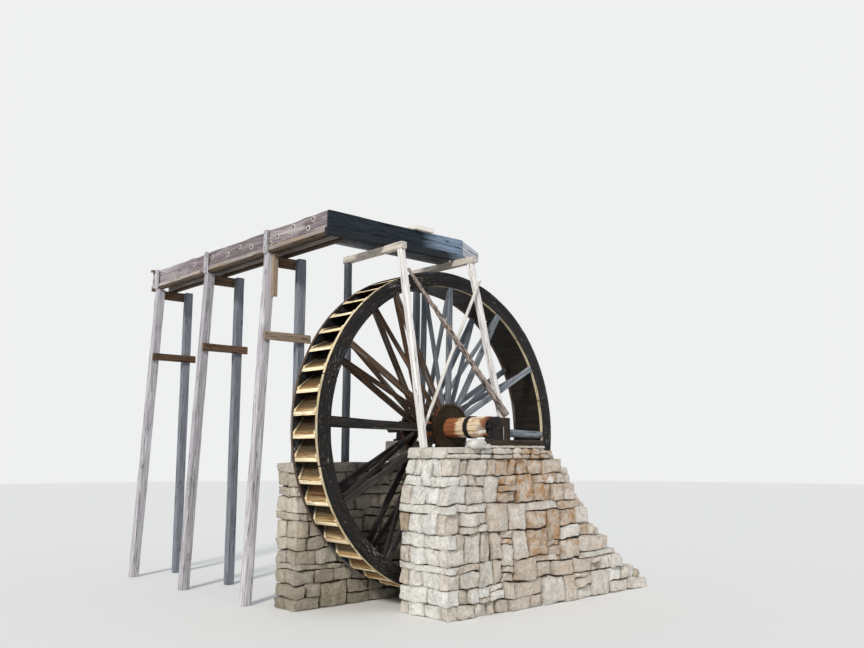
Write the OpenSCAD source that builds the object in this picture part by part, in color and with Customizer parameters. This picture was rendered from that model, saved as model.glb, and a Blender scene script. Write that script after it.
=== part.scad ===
// Overshot water wheel on a stone pier, with its timber trestle and head flume.
// The wheel turns on a timber axle. Millimetres, +Z up, X along the wheel's face, Y along the axle.
// The origin is under the axle, on the base level, in the middle of the front pier's top width.

/* [Wheel] */
// Outer radius of the wheel
wheel_r = 2600; // [2450:10:2680]
// Width over the two shrouds
wheel_w = 720; // [640:10:820]
// Number of buckets
bucket_count = 48; // [36:12:60]
// Number of arms on each side
arm_count = 12; // [8:2:12]
// Angle of the first arm, in degrees
arm_phase = 28.3; // [0:0.1:30]
// Angle of the first bucket's lip, in degrees
bucket_phase = 3.8; // [0:0.1:7]

/* [Shrouds and buckets] */
// Radial depth of a shroud
shroud_d = 240; // [200:5:280]
// Thickness of a shroud plank
shroud_t = 70; // [50:5:80]
// Open joint between two shroud planks
felloe_gap = 2; // [1:0.5:4]
// Thickness of a sole board
sole_t = 30; // [20:2:40]
// Open joint between two sole boards
sole_gap = 2; // [1:0.5:4]
// Thickness of a bucket board
bucket_t = 38; // [28:2:46]
// Slope of a bucket board from the radius, in degrees
bucket_slope = 49; // [40:1:54]
// Width of a cleat, measured along the axle
cleat_w = 40; // [30:2:50]
// Thickness of a cleat on its board
cleat_t = 28; // [20:2:34]

/* [Arms and hubs] */
// Width of an arm
arm_w = 96; // [80:2:96]
// Thickness of an arm
arm_t = 60; // [40:2:66]
// Width of a crossed brace
brace_w = 70; // [50:2:80]
// Thickness of a crossed brace
brace_t = 50; // [40:2:60]
// Radius of a hub flange
flange_r = 390; // [340:5:420]
// Thickness of a hub flange
flange_t = 45; // [30:5:60]
// Height of the rim bead on a hub flange
flange_bead = 16; // [8:2:24]
// Radius of the hub boss that the arms stand on
boss_r = 205; // [200:5:230]
// Length of the hub boss behind its flange
boss_l = 150; // [140:5:170]

/* [Axle] */
// Axle size across its flats
shaft_d = 330; // [290:5:345]
// Number of flats on the axle
shaft_flats = 12; // [8:2:12]
// Axle length in front of the wheel
shaft_front = 950; // [900:10:980]
// Axle length behind the wheel
shaft_back = 350; // [320:10:370]
// Width of an iron hoop
hoop_w = 90; // [40:5:110]
// Thickness of an iron hoop
hoop_t = 12; // [8:1:16]
// Distance from the wheel's face to the middle hoop
hoop_place = 540; // [300:5:600]
// Radius of a journal
journal_r = 55; // [45:1:60]
// Running clearance of a journal, on the radius
journal_gap = 0.08; // [0.02:0.01:0.1]
// Radius of the drive end behind the back bearing
drive_r = 50; // [40:1:52]
// Length of the drive end
drive_l = 300; // [200:10:400]

/* [Bearings] */
// Length of a bearing along the axle
bearing_l = 130; // [110:5:150]
// Wall of the bearing round the journal
bearing_wall = 32; // [25:1:45]
// Width of a bearing's foot
bearing_foot_w = 330; // [300:5:380]
// Thickness of a bearing's foot
bearing_foot_t = 35; // [25:1:45]
// Height of the axle's centre above a bearing's seat
bearing_rise = 200; // [180:5:220]
// Height of the bearing's round top above the axle's centre
bearing_top = 155; // [110:5:180]
// Open space between the axle's end and its bearing
end_gap = 30; // [24:2:40]
// Radius of a gudgeon's flange
gudgeon_flange_r = 125; // [100:5:135]
// Thickness of a gudgeon's flange
gudgeon_flange_t = 14; // [10:1:18]
// Reach of a gudgeon past its bearing
gudgeon_over = 12; // [8:1:30]
// Length of the timber beam under the front bearing
beam_l = 1450; // [1000:10:1480]
// Distance from the axle to the beam's left end
beam_left = 400; // [340:10:440]
// Width of the beam, along the axle
beam_w = 160; // [150:5:200]
// Height of the beam
beam_h = 90; // [80:5:110]
// Width of the broken edge along the beam
beam_edge = 28; // [5:1:40]
// Thickness of the flat stones under the beam
pad_t = 35; // [30:5:60]
// Overhang of the flat stones round the beam
pad_over = 60; // [20:5:100]

/* [Stonework] */
// Width of the front pier's top, along X
pier_w = 2254; // [2250:10:2500]
// Distance from the axle to the left end of the pier's top
pier_left = 1000; // [980:5:1050]
// Spread of the pier's left face at its foot
pier_lean = 170; // [80:5:220]
// Height below the pier's top at which its left face turns upright
pier_knee = 900; // [600:20:1400]
// Thickness of the pier at its top
pier_t = 1000; // [980:10:1100]
// Height of the pier
pier_h = 2425; // [2300:5:2600]
// Spread of the pier's front at its foot
pier_batter = 115; // [60:5:180]
// Open space between the pier and the wheel
pier_gap = 130; // [100:5:180]
// Length of the wing wall
wing_l = 2390; // [2380:10:2700]
// Thickness of the wing wall
wing_t = 500; // [400:10:600]
// Open space between the wheel and the pit wall
pit_gap = 155; // [150:5:200]
// Thickness of the pit wall
pit_t = 600; // [550:10:700]
// Height of the pit wall
pit_h = 2200; // [2100:10:2250]
// Pit wall length to the left of the axle
pit_left = 2340; // [2000:10:2380]
// Pit wall length to the right of the axle
pit_right = 3040; // [2800:10:3200]
// Depth of the open joints between stone courses
joint_d = 30; // [10:1:50]
// Height of the open joints between stone courses
joint_h = 16; // [8:1:30]
// Size of the block under the back bearing, along X
block_w = 500; // [420:10:520]
// Size of the block under the back bearing, along Y
block_d = 420; // [380:10:460]

/* [Trestle] */
// Side of a square trestle post
post_s = 105; // [90:5:120]
// Left post's foot, left of the axle
left_foot_x = 830; // [780:10:880]
// Left post's top, left of the axle
left_top_x = 1232; // [1180:10:1280]
// Right post's foot, right of the axle
right_foot_x = 930; // [880:10:1000]
// Right post's top, right of the axle
right_top_x = 320; // [280:10:400]
// Height of the block under the right post
stand_h = 505; // [300:5:560]
// Width of the block under the right post, along X
stand_w = 200; // [150:5:220]
// Depth of the block under the right post, along Y
stand_d = 230; // [160:5:260]
// Distance of the post feet from the wheel
foot_back = 312; // [280:5:340]
// Distance of the post tops from the wheel
top_back = 216; // [190:5:240]
// Side of a trestle cap
cap_s = 110; // [90:5:130]
// Overhang of a cap in front of its post
cap_over = 30; // [10:5:60]
// Radius of the white pole
pole_r = 28; // [22:1:32]
// Radius of the bark pole's thin end
bark_top_r = 28; // [22:1:34]
// Radius of the bark pole's thick end
bark_foot_r = 58; // [48:1:64]
// Depth that a pole is let into a post
pole_bite = 8; // [5:1:12]

/* [Flume] */
// Clearance between the wheel and the trestle caps
flume_gap = 176; // [150:2:220]
// Outside width of the flume
flume_w = 460; // [420:10:520]
// Height of a flume sill
sill_h = 125; // [100:5:150]
// Width of a flume sill
sill_w = 90; // [80:5:110]
// Ledge of a sill outside the side board
sill_ledge = 25; // [15:1:30]
// Height of a flume side board
side_h = 265; // [220:5:300]
// Thickness of a flume side board
side_t = 45; // [35:1:50]
// Thickness of the flume's floor
floor_t = 40; // [25:1:50]
// Flume corner, left of the axle
corner_x = 2392; // [2380:10:2480]
// End of the flume over the wheel, right of the axle
run_b_end = 495; // [460:5:560]
// Width of the cover board on the flume, along X
cover_w = 430; // [300:10:500]
// Distance from the axle to the cover board's left end
cover_x = 650; // [500:10:900]
// Thickness of the cover board
cover_t = 75; // [30:1:90]
// Overhang of the cover board on each side
cover_over = 30; // [10:2:50]
// Length of the spout
nose_l = 390; // [300:10:440]
// Drop of the spout's lip below the flume's floor
nose_drop = 60; // [30:5:90]
// Height of the spout's cheeks at the lip, above the flume's floor
nose_tip_h = 105; // [80:5:140]
// Thickness of a spout plank
nose_t = 25; // [20:1:32]
// Number of bents under the side flume
bent_count = 3; // [2:1:4]
// Distance from the flume's front to the first bent
bent_first = 1750; // [1600:10:1850]
// Distance between two bents
bent_pitch = 2100; // [1900:10:2300]
// Length of the side flume behind its last bent
run_a_over = 320; // [200:10:500]

/* [Bents] */
// Width of an outer post, along X
outer_w = 160; // [130:5:180]
// Thickness of an outer post, along Y
outer_d = 130; // [110:5:150]
// Spread of an outer post's foot
outer_spread = 260; // [150:10:320]
// Side of an inner post
inner_s = 150; // [120:5:170]
// Distance between the flume's outside and the inner post's far side
bent_w = 750; // [720:10:820]
// Height of a bent's cap plank
bent_cap_h = 180; // [140:5:220]
// Height of a girt plank
girt_h = 140; // [100:5:180]
// Thickness of cap and girt planks
plank_t = 48; // [35:1:60]
// Height of the girts above the base
girt_z = 4180; // [3600:10:4400]
// Girt length past the inner post
girt_over = 90; // [40:10:160]
// Width of a side strap
strap_w = 90; // [60:5:110]
// Thickness of a side strap
strap_t = 50; // [25:1:60]
// Distance of the hanging board from the flume's outside
hang_in = 57; // [40:1:70]
// Length of the hanging board
hang_l = 725; // [500:5:800]
// Width of the hanging board
hang_w = 95; // [80:5:150]
// Thickness of the hanging board
hang_t = 60; // [25:1:70]

/* [Hidden] */

// Small seat gap between timbers that only lie against each other
seat = 0.3;
// Length that a cutting shape runs past what it cuts
over = 20;
// Facets of the wheel's rings, of the hubs and of small round work
ring_facets = 180;
hub_facets = 120;
round_facets = 64;
pole_facets = 32;

// Small sizes of the bearings
bearing_flare = 25;
lug_w = 60;
lug_h = 46;
lug_out = 12;
lug_share = 0.6;
bolt_out = 22;
bolt_r = 9;

// Small sizes of the wheel
hoop_inset = 6;
flange_bead_w = 34;
cleat_back = 4;

// Shares of the way up the posts where the poles meet them, and their reach past the posts
white_low_share = 0.05;
white_high_share = 0.86;
bark_low_share = 0.035;
bark_high_share = 0.9;
white_low_over = 60;
white_high_over = 90;
bark_low_over = 50;

// Small sizes of the flume and its bents
cheek_drop = 10;
strap_rise = 10;
tie_w = 90;
tie_t = 45;
tie_over = 40;
tie_back = 30;
post_out = 20;
cap_plank_in = 10;
cap_plank_over = 40;
girt_in = 20;

// Heights of the stone courses from the foot up, as parts of the whole
courses = [190, 220, 230, 100, 230, 210, 280, 130, 270, 150, 240, 175];
course_count = len(courses);
// Reach of each course of the wing wall from the foot up, as a share of its length
wing_reach = [1, 0.864, 0.711, 0.653, 0.556, 0.423, 0.356, 0.287, 0.218, 0.186, 0.094];

// Places along Y
wheel_front = pier_t / 2 + pier_gap;
wheel_y = wheel_front + wheel_w / 2;
wheel_back = wheel_front + wheel_w;
pit_front = wheel_back + pit_gap;
shaft_y0 = wheel_front - shaft_front;
shaft_y1 = wheel_back + shaft_back;
front_bearing_y = shaft_y0 - end_gap - bearing_l / 2;
back_bearing_y = shaft_y1 + end_gap + bearing_l / 2;
flume_y0 = wheel_y - flume_w / 2;
flume_y1 = wheel_y + flume_w / 2;
posts_foot_y = wheel_front - foot_back;
posts_top_y = wheel_front - top_back;
inner_post_y = pit_front + pit_t / 2;

// Heights
beam_z = pier_h + pad_t;
stand_z = pier_h + stand_h;
bearing_seat_z = beam_z + beam_h;
axle_z = bearing_seat_z + bearing_rise;
cap_z = axle_z + wheel_r + flume_gap;
flume_z = cap_z + cap_s;
side_z = flume_z + sill_h;
flume_top = side_z + side_h;

// Places along X
pier_right = pier_w - pier_left;
flume_x0 = -corner_x;
flume_x1 = flume_x0 + flume_w;
side_in = sill_ledge + side_t;
outer_top_x = flume_x0 + outer_w / 2 - post_out;
inner_x = flume_x0 + bent_w - inner_s / 2;

// Wheel rings
shroud_r = wheel_r - shroud_d;
sole_r = shroud_r + sole_t;
inside_w = wheel_w - 2 * shroud_t;
arm_back = wheel_w / 2 - shroud_t / 2 - arm_t / 2;
arm_front = arm_back + arm_t;
brace_root = sqrt(pow(boss_r, 2) - pow(brace_w + seat, 2));
brace_reach = shroud_r - brace_root;
brace_angle = atan(2 * (arm_back - brace_t / 2) / brace_reach);
brace_z = arm_back - seat - brace_t / 2 / cos(brace_angle);
brace_slope = atan(2 * brace_z / brace_reach);
bucket_reach = 1.5 * shroud_d / cos(bucket_slope);

function bent_y(i) = flume_y0 + bent_first + i * bent_pitch;
run_a_end = bent_y(bent_count - 1) + run_a_over;

// Places its children on the axle, with the children's Z pointing to the front
module on_axle(y = wheel_y) {
    translate([0, y, axle_z]) rotate([90, 0, 0]) children();
}

// A ring about the axle
module ring(r_in, r_out, w) {
    difference() {
        cylinder(r = r_out, h = w, center = true, $fn = ring_facets);
        cylinder(r = r_in, h = w + 2 * over, center = true, $fn = ring_facets);
    }
}

// A square timber between two points, its ends cut level
module leaning_post(foot, top, sx, sy) {
    d = top - foot;
    len = norm(d);
    tilt_x = -asin(d.y / len);
    tilt_y = atan2(d.x, d.z);
    reach = 2 * max(sx, sy);
    intersection() {
        translate(foot) rotate([tilt_x, tilt_y, 0])
            translate([-sx / 2, -sy / 2, -reach]) cube([sx, sy, len + 2 * reach]);
        translate([min(foot.x, top.x) - 2 * sx, min(foot.y, top.y) - 2 * sy, foot.z])
            cube([abs(d.x) + 4 * sx, abs(d.y) + 4 * sy, d.z]);
    }
}

// A tapered round pole between two points
module pole(from, to, r1, r2) {
    d = to - from;
    len = norm(d);
    translate(from) rotate([0, acos(d.z / len), atan2(d.y, d.x)])
        cylinder(r1 = r1, r2 = r2, h = len, $fn = pole_facets);
}

// Stonework

// Height of the bed joint under a course, in a wall of height h
function stacked(i) = i == 0 ? 0 : stacked(i - 1) + courses[i - 1];
function bed_z(i, h) = h * stacked(i) / stacked(course_count);

// A wall with an upright back and a battered front, from x0 to x1, drawn in on its faces
module battered(x0, x1, y_back, top_t, inset = 0) {
    translate([x0, 0, 0]) rotate([90, 0, 90]) linear_extrude(x1 - x0) polygon([
        [y_back - inset, 0], [y_back - inset, pier_h], [y_back - top_t + inset, pier_h],
        [y_back - top_t - pier_batter + inset, 0]
    ]);
}

// The part of its children that lies in one course, between two open bed joints
module course(i, h) {
    z0 = bed_z(i, h) + (i == 0 ? 0 : joint_h / 2);
    z1 = bed_z(i + 1, h) - (i == course_count - 1 ? 0 : joint_h / 2);
    intersection() {
        children();
        translate([-2 * wing_l, -2 * pier_t, z0]) cube([4 * wing_l, 6 * pier_t, z1 - z0]);
    }
}

// The pier's body, whose left face leans in above the knee
module pier_body(inset = 0) {
    foot_x = -pier_left - pier_lean + inset;
    intersection() {
        battered(foot_x, pier_right - inset, pier_t / 2, pier_t, inset);
        translate([0, pier_t, 0]) rotate([90, 0, 0]) linear_extrude(3 * pier_t) polygon([
            [foot_x, 0], [foot_x, pier_h - pier_knee], [-pier_left + inset, pier_h],
            [pier_right, pier_h], [pier_right, 0]
        ]);
    }
}

module pier() {
    color("#d9d2c0") union() {
        pier_body(joint_d);
        for (i = [0:course_count - 1]) course(i, pier_h) pier_body();
    }
}

// The broken wall: each course reaches less far than the one under it
module wing_wall() {
    n = len(wing_reach);
    color("#d3cab4") union() {
        for (i = [0:n - 1]) course(i, pier_h)
            battered(pier_right, pier_right + wing_reach[i] * wing_l, wing_t - pier_t / 2, wing_t);
        for (i = [1:n - 1]) intersection() {
            battered(pier_right, pier_right + wing_reach[i] * wing_l - joint_d, wing_t - pier_t / 2, wing_t, joint_d);
            translate([0, -2 * pier_t, bed_z(i, pier_h) - joint_h])
                cube([2 * wing_l + pier_w, 4 * pier_t, 2 * joint_h]);
        }
    }
}

module pit_body(inset = 0) {
    translate([-pit_left + inset, pit_front + inset, 0])
        cube([pit_left + pit_right - 2 * inset, pit_t - 2 * inset, pit_h]);
}

module pit_wall() {
    color("#b9b0a0") union() {
        pit_body(joint_d);
        for (i = [0:course_count - 1]) course(i, pit_h) pit_body();
    }
}

module back_block() {
    color("#b9b0a0") translate([-block_w / 2, back_bearing_y - block_d / 2, pit_h])
        cube([block_w, block_d, bearing_seat_z - pit_h]);
}

// Two flat stones, whose corners are broken off
module bearing_pad() {
    x0 = -beam_left - pad_over;
    x1 = -beam_left + beam_l + pad_over;
    joint = (x0 + x1) / 2;
    y0 = front_bearing_y - beam_w / 2 + over;
    y1 = front_bearing_y + beam_w / 2 + 3 * pad_over;
    color("#cfc6b0") translate([0, 0, pier_h]) linear_extrude(pad_t) {
        polygon([
            [x0 + pad_over, y0], [joint - seat, y0], [joint - seat, y1 - pad_over],
            [joint - 2 * pad_over, y1], [x0, y1 - over], [x0, y0 + pad_over]
        ]);
        polygon([
            [joint + seat, y0], [x1 - over, y0], [x1, y0 + pad_over],
            [x1 - pad_over, y1 - pad_over], [joint + seat, y1 - 2 * pad_over]
        ]);
    }
}

// Bearings

// A timber with broken edges under the bearing, and the block that the right post stands on
module bearing_beam() {
    color("#4a3d33") {
        translate([-beam_left, front_bearing_y, beam_z]) rotate([90, 0, 90])
            linear_extrude(beam_l) polygon([
                [-beam_w / 2 + beam_edge, 0], [beam_w / 2 - beam_edge, 0],
                [beam_w / 2, beam_edge], [beam_w / 2, beam_h - beam_edge],
                [beam_w / 2 - beam_edge, beam_h], [-beam_w / 2 + beam_edge, beam_h],
                [-beam_w / 2, beam_h - beam_edge], [-beam_w / 2, beam_edge]
            ]);
        translate([right_foot_x - stand_w / 2, posts_foot_y - stand_d / 2, pier_h])
            cube([stand_w, stand_d, stand_h]);
    }
}

// A plummer block: foot, tapered body and cap round the journal
module bearing(y) {
    wall_r = journal_r + bearing_wall;
    color("#3c3733") on_axle(y) difference() {
        union() {
            for (up = [0, bearing_top - wall_r]) translate([0, up, 0])
                cylinder(r = wall_r, h = bearing_l, center = true, $fn = round_facets);
            translate([-wall_r, 0, -bearing_l / 2]) cube([2 * wall_r, bearing_top - wall_r, bearing_l]);
            translate([0, 0, -bearing_l / 2]) linear_extrude(bearing_l) polygon([
                [-wall_r, 0], [wall_r, 0],
                [wall_r + bearing_flare, -bearing_rise], [-wall_r - bearing_flare, -bearing_rise]
            ]);
            translate([-bearing_foot_w / 2, -bearing_rise, -bearing_l / 2])
                cube([bearing_foot_w, bearing_foot_t, bearing_l]);
            for (side = [-1, 1]) translate([side * (wall_r + lug_out), 0, 0])
                cube([lug_w, lug_h, bearing_l * lug_share], center = true);
        }
        cylinder(r = journal_r + journal_gap, h = 2 * bearing_l, center = true, $fn = round_facets);
        for (side = [-1, 1]) translate([side * (wall_r + bolt_out), 0, 0]) rotate([90, 0, 0])
            cylinder(r = bolt_r, h = lug_h + 2 * over, center = true, $fn = pole_facets);
    }
}

module front_bearing() {
    bearing(front_bearing_y);
}

module back_bearing() {
    bearing(back_bearing_y);
}

// Trestle

module left_post() {
    color("#cdc9c2") leaning_post(
        [-left_foot_x, posts_foot_y, pier_h], [-left_top_x, posts_top_y, cap_z], post_s, post_s);
}

module right_post() {
    color("#cdc9c2") leaning_post(
        [right_foot_x, posts_foot_y, stand_z], [right_top_x, posts_top_y, cap_z], post_s, post_s);
}

module inner_posts() {
    color("#8f8a82") for (x = [-left_top_x, right_top_x])
        translate([x - post_s / 2, inner_post_y - post_s / 2, pit_h])
            cube([post_s, post_s, cap_z - pit_h]);
}

module trestle_caps() {
    y0 = posts_top_y - post_s / 2 - cap_over;
    y1 = inner_post_y + post_s / 2 + cap_over;
    color("#b8b1a6") for (x = [-left_top_x, right_top_x])
        translate([x - cap_s / 2, y0, cap_z]) cube([cap_s, y1 - y0, cap_s]);
}

// Places on the posts, a share of the way up
function on_left(s) = [
    -left_foot_x - s * (left_top_x - left_foot_x),
    posts_foot_y + s * (posts_top_y - posts_foot_y), pier_h + s * (cap_z - pier_h)
];
function on_right(s) = [
    right_foot_x + s * (right_top_x - right_foot_x),
    posts_foot_y + s * (posts_top_y - posts_foot_y), stand_z + s * (cap_z - stand_z)
];

// Where the poles meet the posts
white_low = on_left(white_low_share) + [0, post_s / 2 + pole_r - pole_bite, 0];
white_high = on_right(white_high_share) - [0, post_s / 2 + pole_r - pole_bite, 0];
bark_low = on_right(bark_low_share) - [0, post_s / 2 + bark_foot_r - pole_bite, 0];
bark_high = on_left(bark_high_share) + [post_s / 2, -post_s / 2, 0];

module white_pole() {
    d = (white_high - white_low) / norm(white_high - white_low);
    pole(white_low - white_low_over * d, white_high + white_high_over * d, pole_r, pole_r);
}

module white_brace() {
    color("#dcd8d0") difference() {
        white_pole();
        left_post();
        right_post();
    }
}

module bark_brace() {
    d = (bark_high - bark_low) / norm(bark_high - bark_low);
    color("#6b5a4a") difference() {
        pole(bark_low - bark_low_over * d, bark_high, bark_foot_r, bark_top_r);
        left_post();
        right_post();
        white_pole();
    }
}

// Flume over the wheel

module run_b_sills() {
    color("#7d766c") {
        translate([flume_x0, flume_y0, flume_z]) cube([run_b_end - flume_x0, sill_w, sill_h]);
        translate([flume_x1, flume_y1 - sill_w, flume_z])
            cube([run_b_end - flume_x1, sill_w, sill_h]);
    }
}

module run_b_floor() {
    color("#5b5048") translate([flume_x1 - side_in, flume_y0 + side_in, side_z])
        cube([run_b_end - flume_x1 + side_in, flume_w - 2 * side_in, floor_t]);
}

module run_b_sides() {
    color("#70777d") {
        translate([flume_x0 + sill_ledge, flume_y0 + sill_ledge, side_z])
            cube([run_b_end - flume_x0 - sill_ledge, side_t, side_h]);
        translate([flume_x1 - sill_ledge, flume_y1 - side_in, side_z])
            cube([run_b_end - flume_x1 + sill_ledge, side_t, side_h]);
    }
}

// The spout: two cheeks that drop towards the wheel, and a sloping floor
module spout() {
    top = side_h - cheek_drop;
    color("#8b959c") translate([run_b_end, 0, side_z]) {
        for (y = [flume_y0 + sill_ledge, flume_y1 - sill_ledge - nose_t])
            translate([0, y + nose_t, 0]) rotate([90, 0, 0]) linear_extrude(nose_t)
                polygon([[0, 0], [0, top], [nose_l, nose_tip_h], [nose_l, -nose_drop]]);
        translate([0, flume_y1 - sill_ledge, 0]) rotate([90, 0, 0])
            linear_extrude(flume_w - 2 * sill_ledge)
                polygon([[0, 0], [0, floor_t], [nose_l, nose_t - nose_drop], [nose_l, -nose_drop]]);
    }
}

module cover_board() {
    color("#d8d4cc") translate([-cover_x, flume_y0 - cover_over, flume_top])
        cube([cover_w, flume_w + 2 * cover_over, cover_t]);
}

// Side flume

module run_a_sills() {
    y0 = flume_y0 + sill_w;
    color("#a39a8c") for (x = [flume_x0, flume_x1 - sill_w])
        translate([x, y0, flume_z]) cube([sill_w, run_a_end - y0, sill_h]);
}

module run_a_floor() {
    y0 = flume_y0 + side_in;
    color("#5b5048") translate([flume_x0 + side_in, y0, side_z])
        cube([flume_w - 2 * side_in, run_a_end - y0, floor_t]);
}

module run_a_sides() {
    y_outer = flume_y0 + side_in;
    y_inner = flume_y1 - side_in + side_t;
    color("#8f8b88") {
        translate([flume_x0 + sill_ledge, y_outer, side_z])
            cube([side_t, run_a_end - y_outer, side_h]);
        translate([flume_x1 - side_in, y_inner, side_z])
            cube([side_t, run_a_end - y_inner, side_h]);
    }
}

module run_a_straps() {
    color("#8c867e") for (i = [0:bent_count - 1])
        translate([flume_x0 - strap_t, bent_y(i) - strap_w / 2, flume_z])
            cube([strap_t, strap_w, sill_h + side_h + strap_rise]);
}

module run_a_end_tie() {
    color("#8c867e") translate([flume_x0 - tie_over, run_a_end - tie_back - tie_w, flume_top])
        cube([flume_w + 2 * tie_over, tie_w, tie_t]);
}

// Bents

module outer_post(i) {
    leaning_post([outer_top_x - outer_spread, bent_y(i), 0], [outer_top_x, bent_y(i), flume_z],
        outer_w, outer_d);
}

module outer_posts() {
    color("#bfbab2") for (i = [0:bent_count - 1]) outer_post(i);
}

module bent_inner_posts() {
    color("#8d8983") for (i = [0:bent_count - 1])
        translate([inner_x - inner_s / 2, bent_y(i) - outer_d / 2, 0])
            cube([inner_s, outer_d, flume_z]);
}

// Cap planks lie against the back of the posts
module bent_caps() {
    color("#5a4a3f") for (i = [0:bent_count - 1])
        translate([flume_x0 + cap_plank_in, bent_y(i) + outer_d / 2, flume_z - bent_cap_h])
            cube([bent_w + cap_plank_over - cap_plank_in, plank_t, bent_cap_h]);
}

// Girt planks lie against the front of the posts
module bent_girts() {
    x0 = outer_top_x - outer_spread * (1 - girt_z / flume_z) - outer_w / 2 + girt_in;
    x1 = inner_x + inner_s / 2 + girt_over;
    color("#7a7168") for (i = [0:bent_count - 1])
        translate([x0, bent_y(i) - outer_d / 2 - plank_t, girt_z])
            cube([x1 - x0, plank_t, girt_h]);
}

// Nailed to the front of the first outer post, under the sill
module hanging_board() {
    color("#8a7765") translate([flume_x0 + hang_in, bent_y(0) - outer_d / 2 - hang_t, flume_z - hang_l])
        cube([hang_w, hang_t, hang_l]);
}

// Axle

module flats(d, w) {
    rotate([0, 0, 180 / shaft_flats])
        cylinder(r = d / 2 / cos(180 / shaft_flats), h = w, center = true, $fn = shaft_flats);
}

module shaft() {
    color("#b98a4e") on_axle((shaft_y0 + shaft_y1) / 2) flats(shaft_d, shaft_y1 - shaft_y0);
}

module shaft_hoops() {
    inset = hoop_w / 2 + hoop_inset;
    places = [wheel_front - hoop_place, shaft_y1 - inset];
    color("#4b3c33") for (y = places) on_axle(y) difference() {
        flats(shaft_d + 2 * hoop_t, hoop_w);
        flats(shaft_d + seat, hoop_w + 2 * over);
    }
}

// A round bar on the axle's line, from y0 to y1
module bar(r, y0, y1) {
    on_axle((y0 + y1) / 2) cylinder(r = r, h = y1 - y0, center = true, $fn = round_facets);
}

// The gudgeons stand on the axle's ends, each with a round flange
module front_gudgeon() {
    y_tip = front_bearing_y - bearing_l / 2 - gudgeon_over;
    color("#3a3532") union() {
        bar(journal_r, y_tip, shaft_y0);
        bar(gudgeon_flange_r, shaft_y0 - gudgeon_flange_t, shaft_y0);
    }
}

module back_gudgeon() {
    y_step = back_bearing_y + bearing_l / 2 + gudgeon_over;
    color("#3a3532") union() {
        bar(gudgeon_flange_r, shaft_y1, shaft_y1 + gudgeon_flange_t);
        bar(journal_r, shaft_y1, y_step);
        bar(drive_r, y_step, y_step + drive_l);
    }
}

// Hubs: a flange with a raised rim, and a boss that the arms stand on
module hub() {
    difference() {
        union() {
            translate([0, 0, arm_front + seat]) cylinder(r = flange_r, h = flange_t, $fn = hub_facets);
            translate([0, 0, arm_front + seat + flange_t]) difference() {
                cylinder(r = flange_r, h = flange_bead, $fn = hub_facets);
                translate([0, 0, -over])
                    cylinder(r = flange_r - flange_bead_w, h = flange_bead + 2 * over, $fn = hub_facets);
            }
            translate([0, 0, arm_front - boss_l])
                cylinder(r = boss_r, h = boss_l + flange_t, $fn = hub_facets);
        }
        flats(shaft_d + seat, 3 * wheel_w);
    }
}

module front_hub() {
    color("#4b4a38") on_axle() hub();
}

module back_hub() {
    color("#4b4a38") on_axle() mirror([0, 0, 1]) hub();
}

// Arms and crossed braces

module arms(z) {
    intersection() {
        for (k = [0:arm_count - 1]) rotate([0, 0, arm_phase + k * 360 / arm_count])
            translate([boss_r - over, -arm_w / 2, z - arm_t / 2])
                cube([shroud_r - boss_r + 2 * over, arm_w, arm_t]);
        ring(boss_r, shroud_r, 2 * wheel_w);
    }
}

module front_arms() {
    color("#6e5a45") on_axle() arms(arm_back + arm_t / 2);
}

module back_arms() {
    color("#6e5a45") on_axle() arms(-arm_back - arm_t / 2);
}

// Each brace runs from the hub on one side to the shroud on the other
module braces(side) {
    length = brace_reach / cos(brace_slope) + 6 * over;
    intersection() {
        for (k = [0:arm_count - 1]) rotate([0, 0, arm_phase + k * 360 / arm_count])
            translate([(brace_root + shroud_r) / 2, side * (brace_w + seat) / 2, 0])
                rotate([0, side * brace_slope, 0]) cube([length, brace_w, brace_t], center = true);
        ring(boss_r, shroud_r, 2 * wheel_w);
    }
}

module braces_out() {
    color("#77604a") on_axle() braces(1);
}

module braces_in() {
    color("#77604a") on_axle() braces(-1);
}

// Shrouds, sole and buckets

module shroud(z) {
    translate([0, 0, z]) difference() {
        ring(shroud_r, wheel_r, shroud_t);
        for (k = [0:arm_count - 1]) rotate([0, 0, arm_phase + (k + 0.5) * 360 / arm_count])
            translate([shroud_r - over, -felloe_gap / 2, -shroud_t])
                cube([shroud_d + 2 * over, felloe_gap, 2 * shroud_t]);
    }
}

module front_shroud() {
    color("#4a4238") on_axle() shroud((wheel_w - shroud_t) / 2);
}

module back_shroud() {
    color("#4a4238") on_axle() shroud(-(wheel_w - shroud_t) / 2);
}

module sole_boards() {
    color("#3b342d") on_axle() difference() {
        ring(shroud_r, sole_r, inside_w);
        for (k = [0:bucket_count - 1]) rotate([0, 0, bucket_phase + k * 360 / bucket_count])
            translate([shroud_r - over, -sole_gap / 2, -wheel_w])
                cube([sole_t + 2 * over, sole_gap, 2 * wheel_w]);
    }
}

// Places its children on each bucket board, X along the board to its lip, Y through it
module each_bucket() {
    for (k = [0:bucket_count - 1]) rotate([0, 0, bucket_phase + k * 360 / bucket_count])
        translate([wheel_r, 0, 0]) rotate([0, 0, bucket_slope]) children();
}

module buckets() {
    color("#8a6f3c") on_axle() intersection() {
        each_bucket() translate([-bucket_reach, -bucket_t / 2, -inside_w / 2])
            cube([bucket_reach + 3 * bucket_t, bucket_t, inside_w]);
        ring(sole_r, wheel_r, 2 * wheel_w);
    }
}

// Cleats nailed to the shroud's inner face, against the outer face of each bucket board
module cleats(z0) {
    intersection() {
        each_bucket() translate([-bucket_reach, -bucket_t / 2 - cleat_t, z0])
            cube([bucket_reach + 3 * bucket_t, cleat_t, cleat_w]);
        ring(sole_r, wheel_r - cleat_back, 2 * wheel_w);
    }
}

module front_cleats() {
    color("#b9a274") on_axle() cleats(inside_w / 2 - cleat_w);
}

module back_cleats() {
    color("#b9a274") on_axle() cleats(-inside_w / 2);
}

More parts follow.
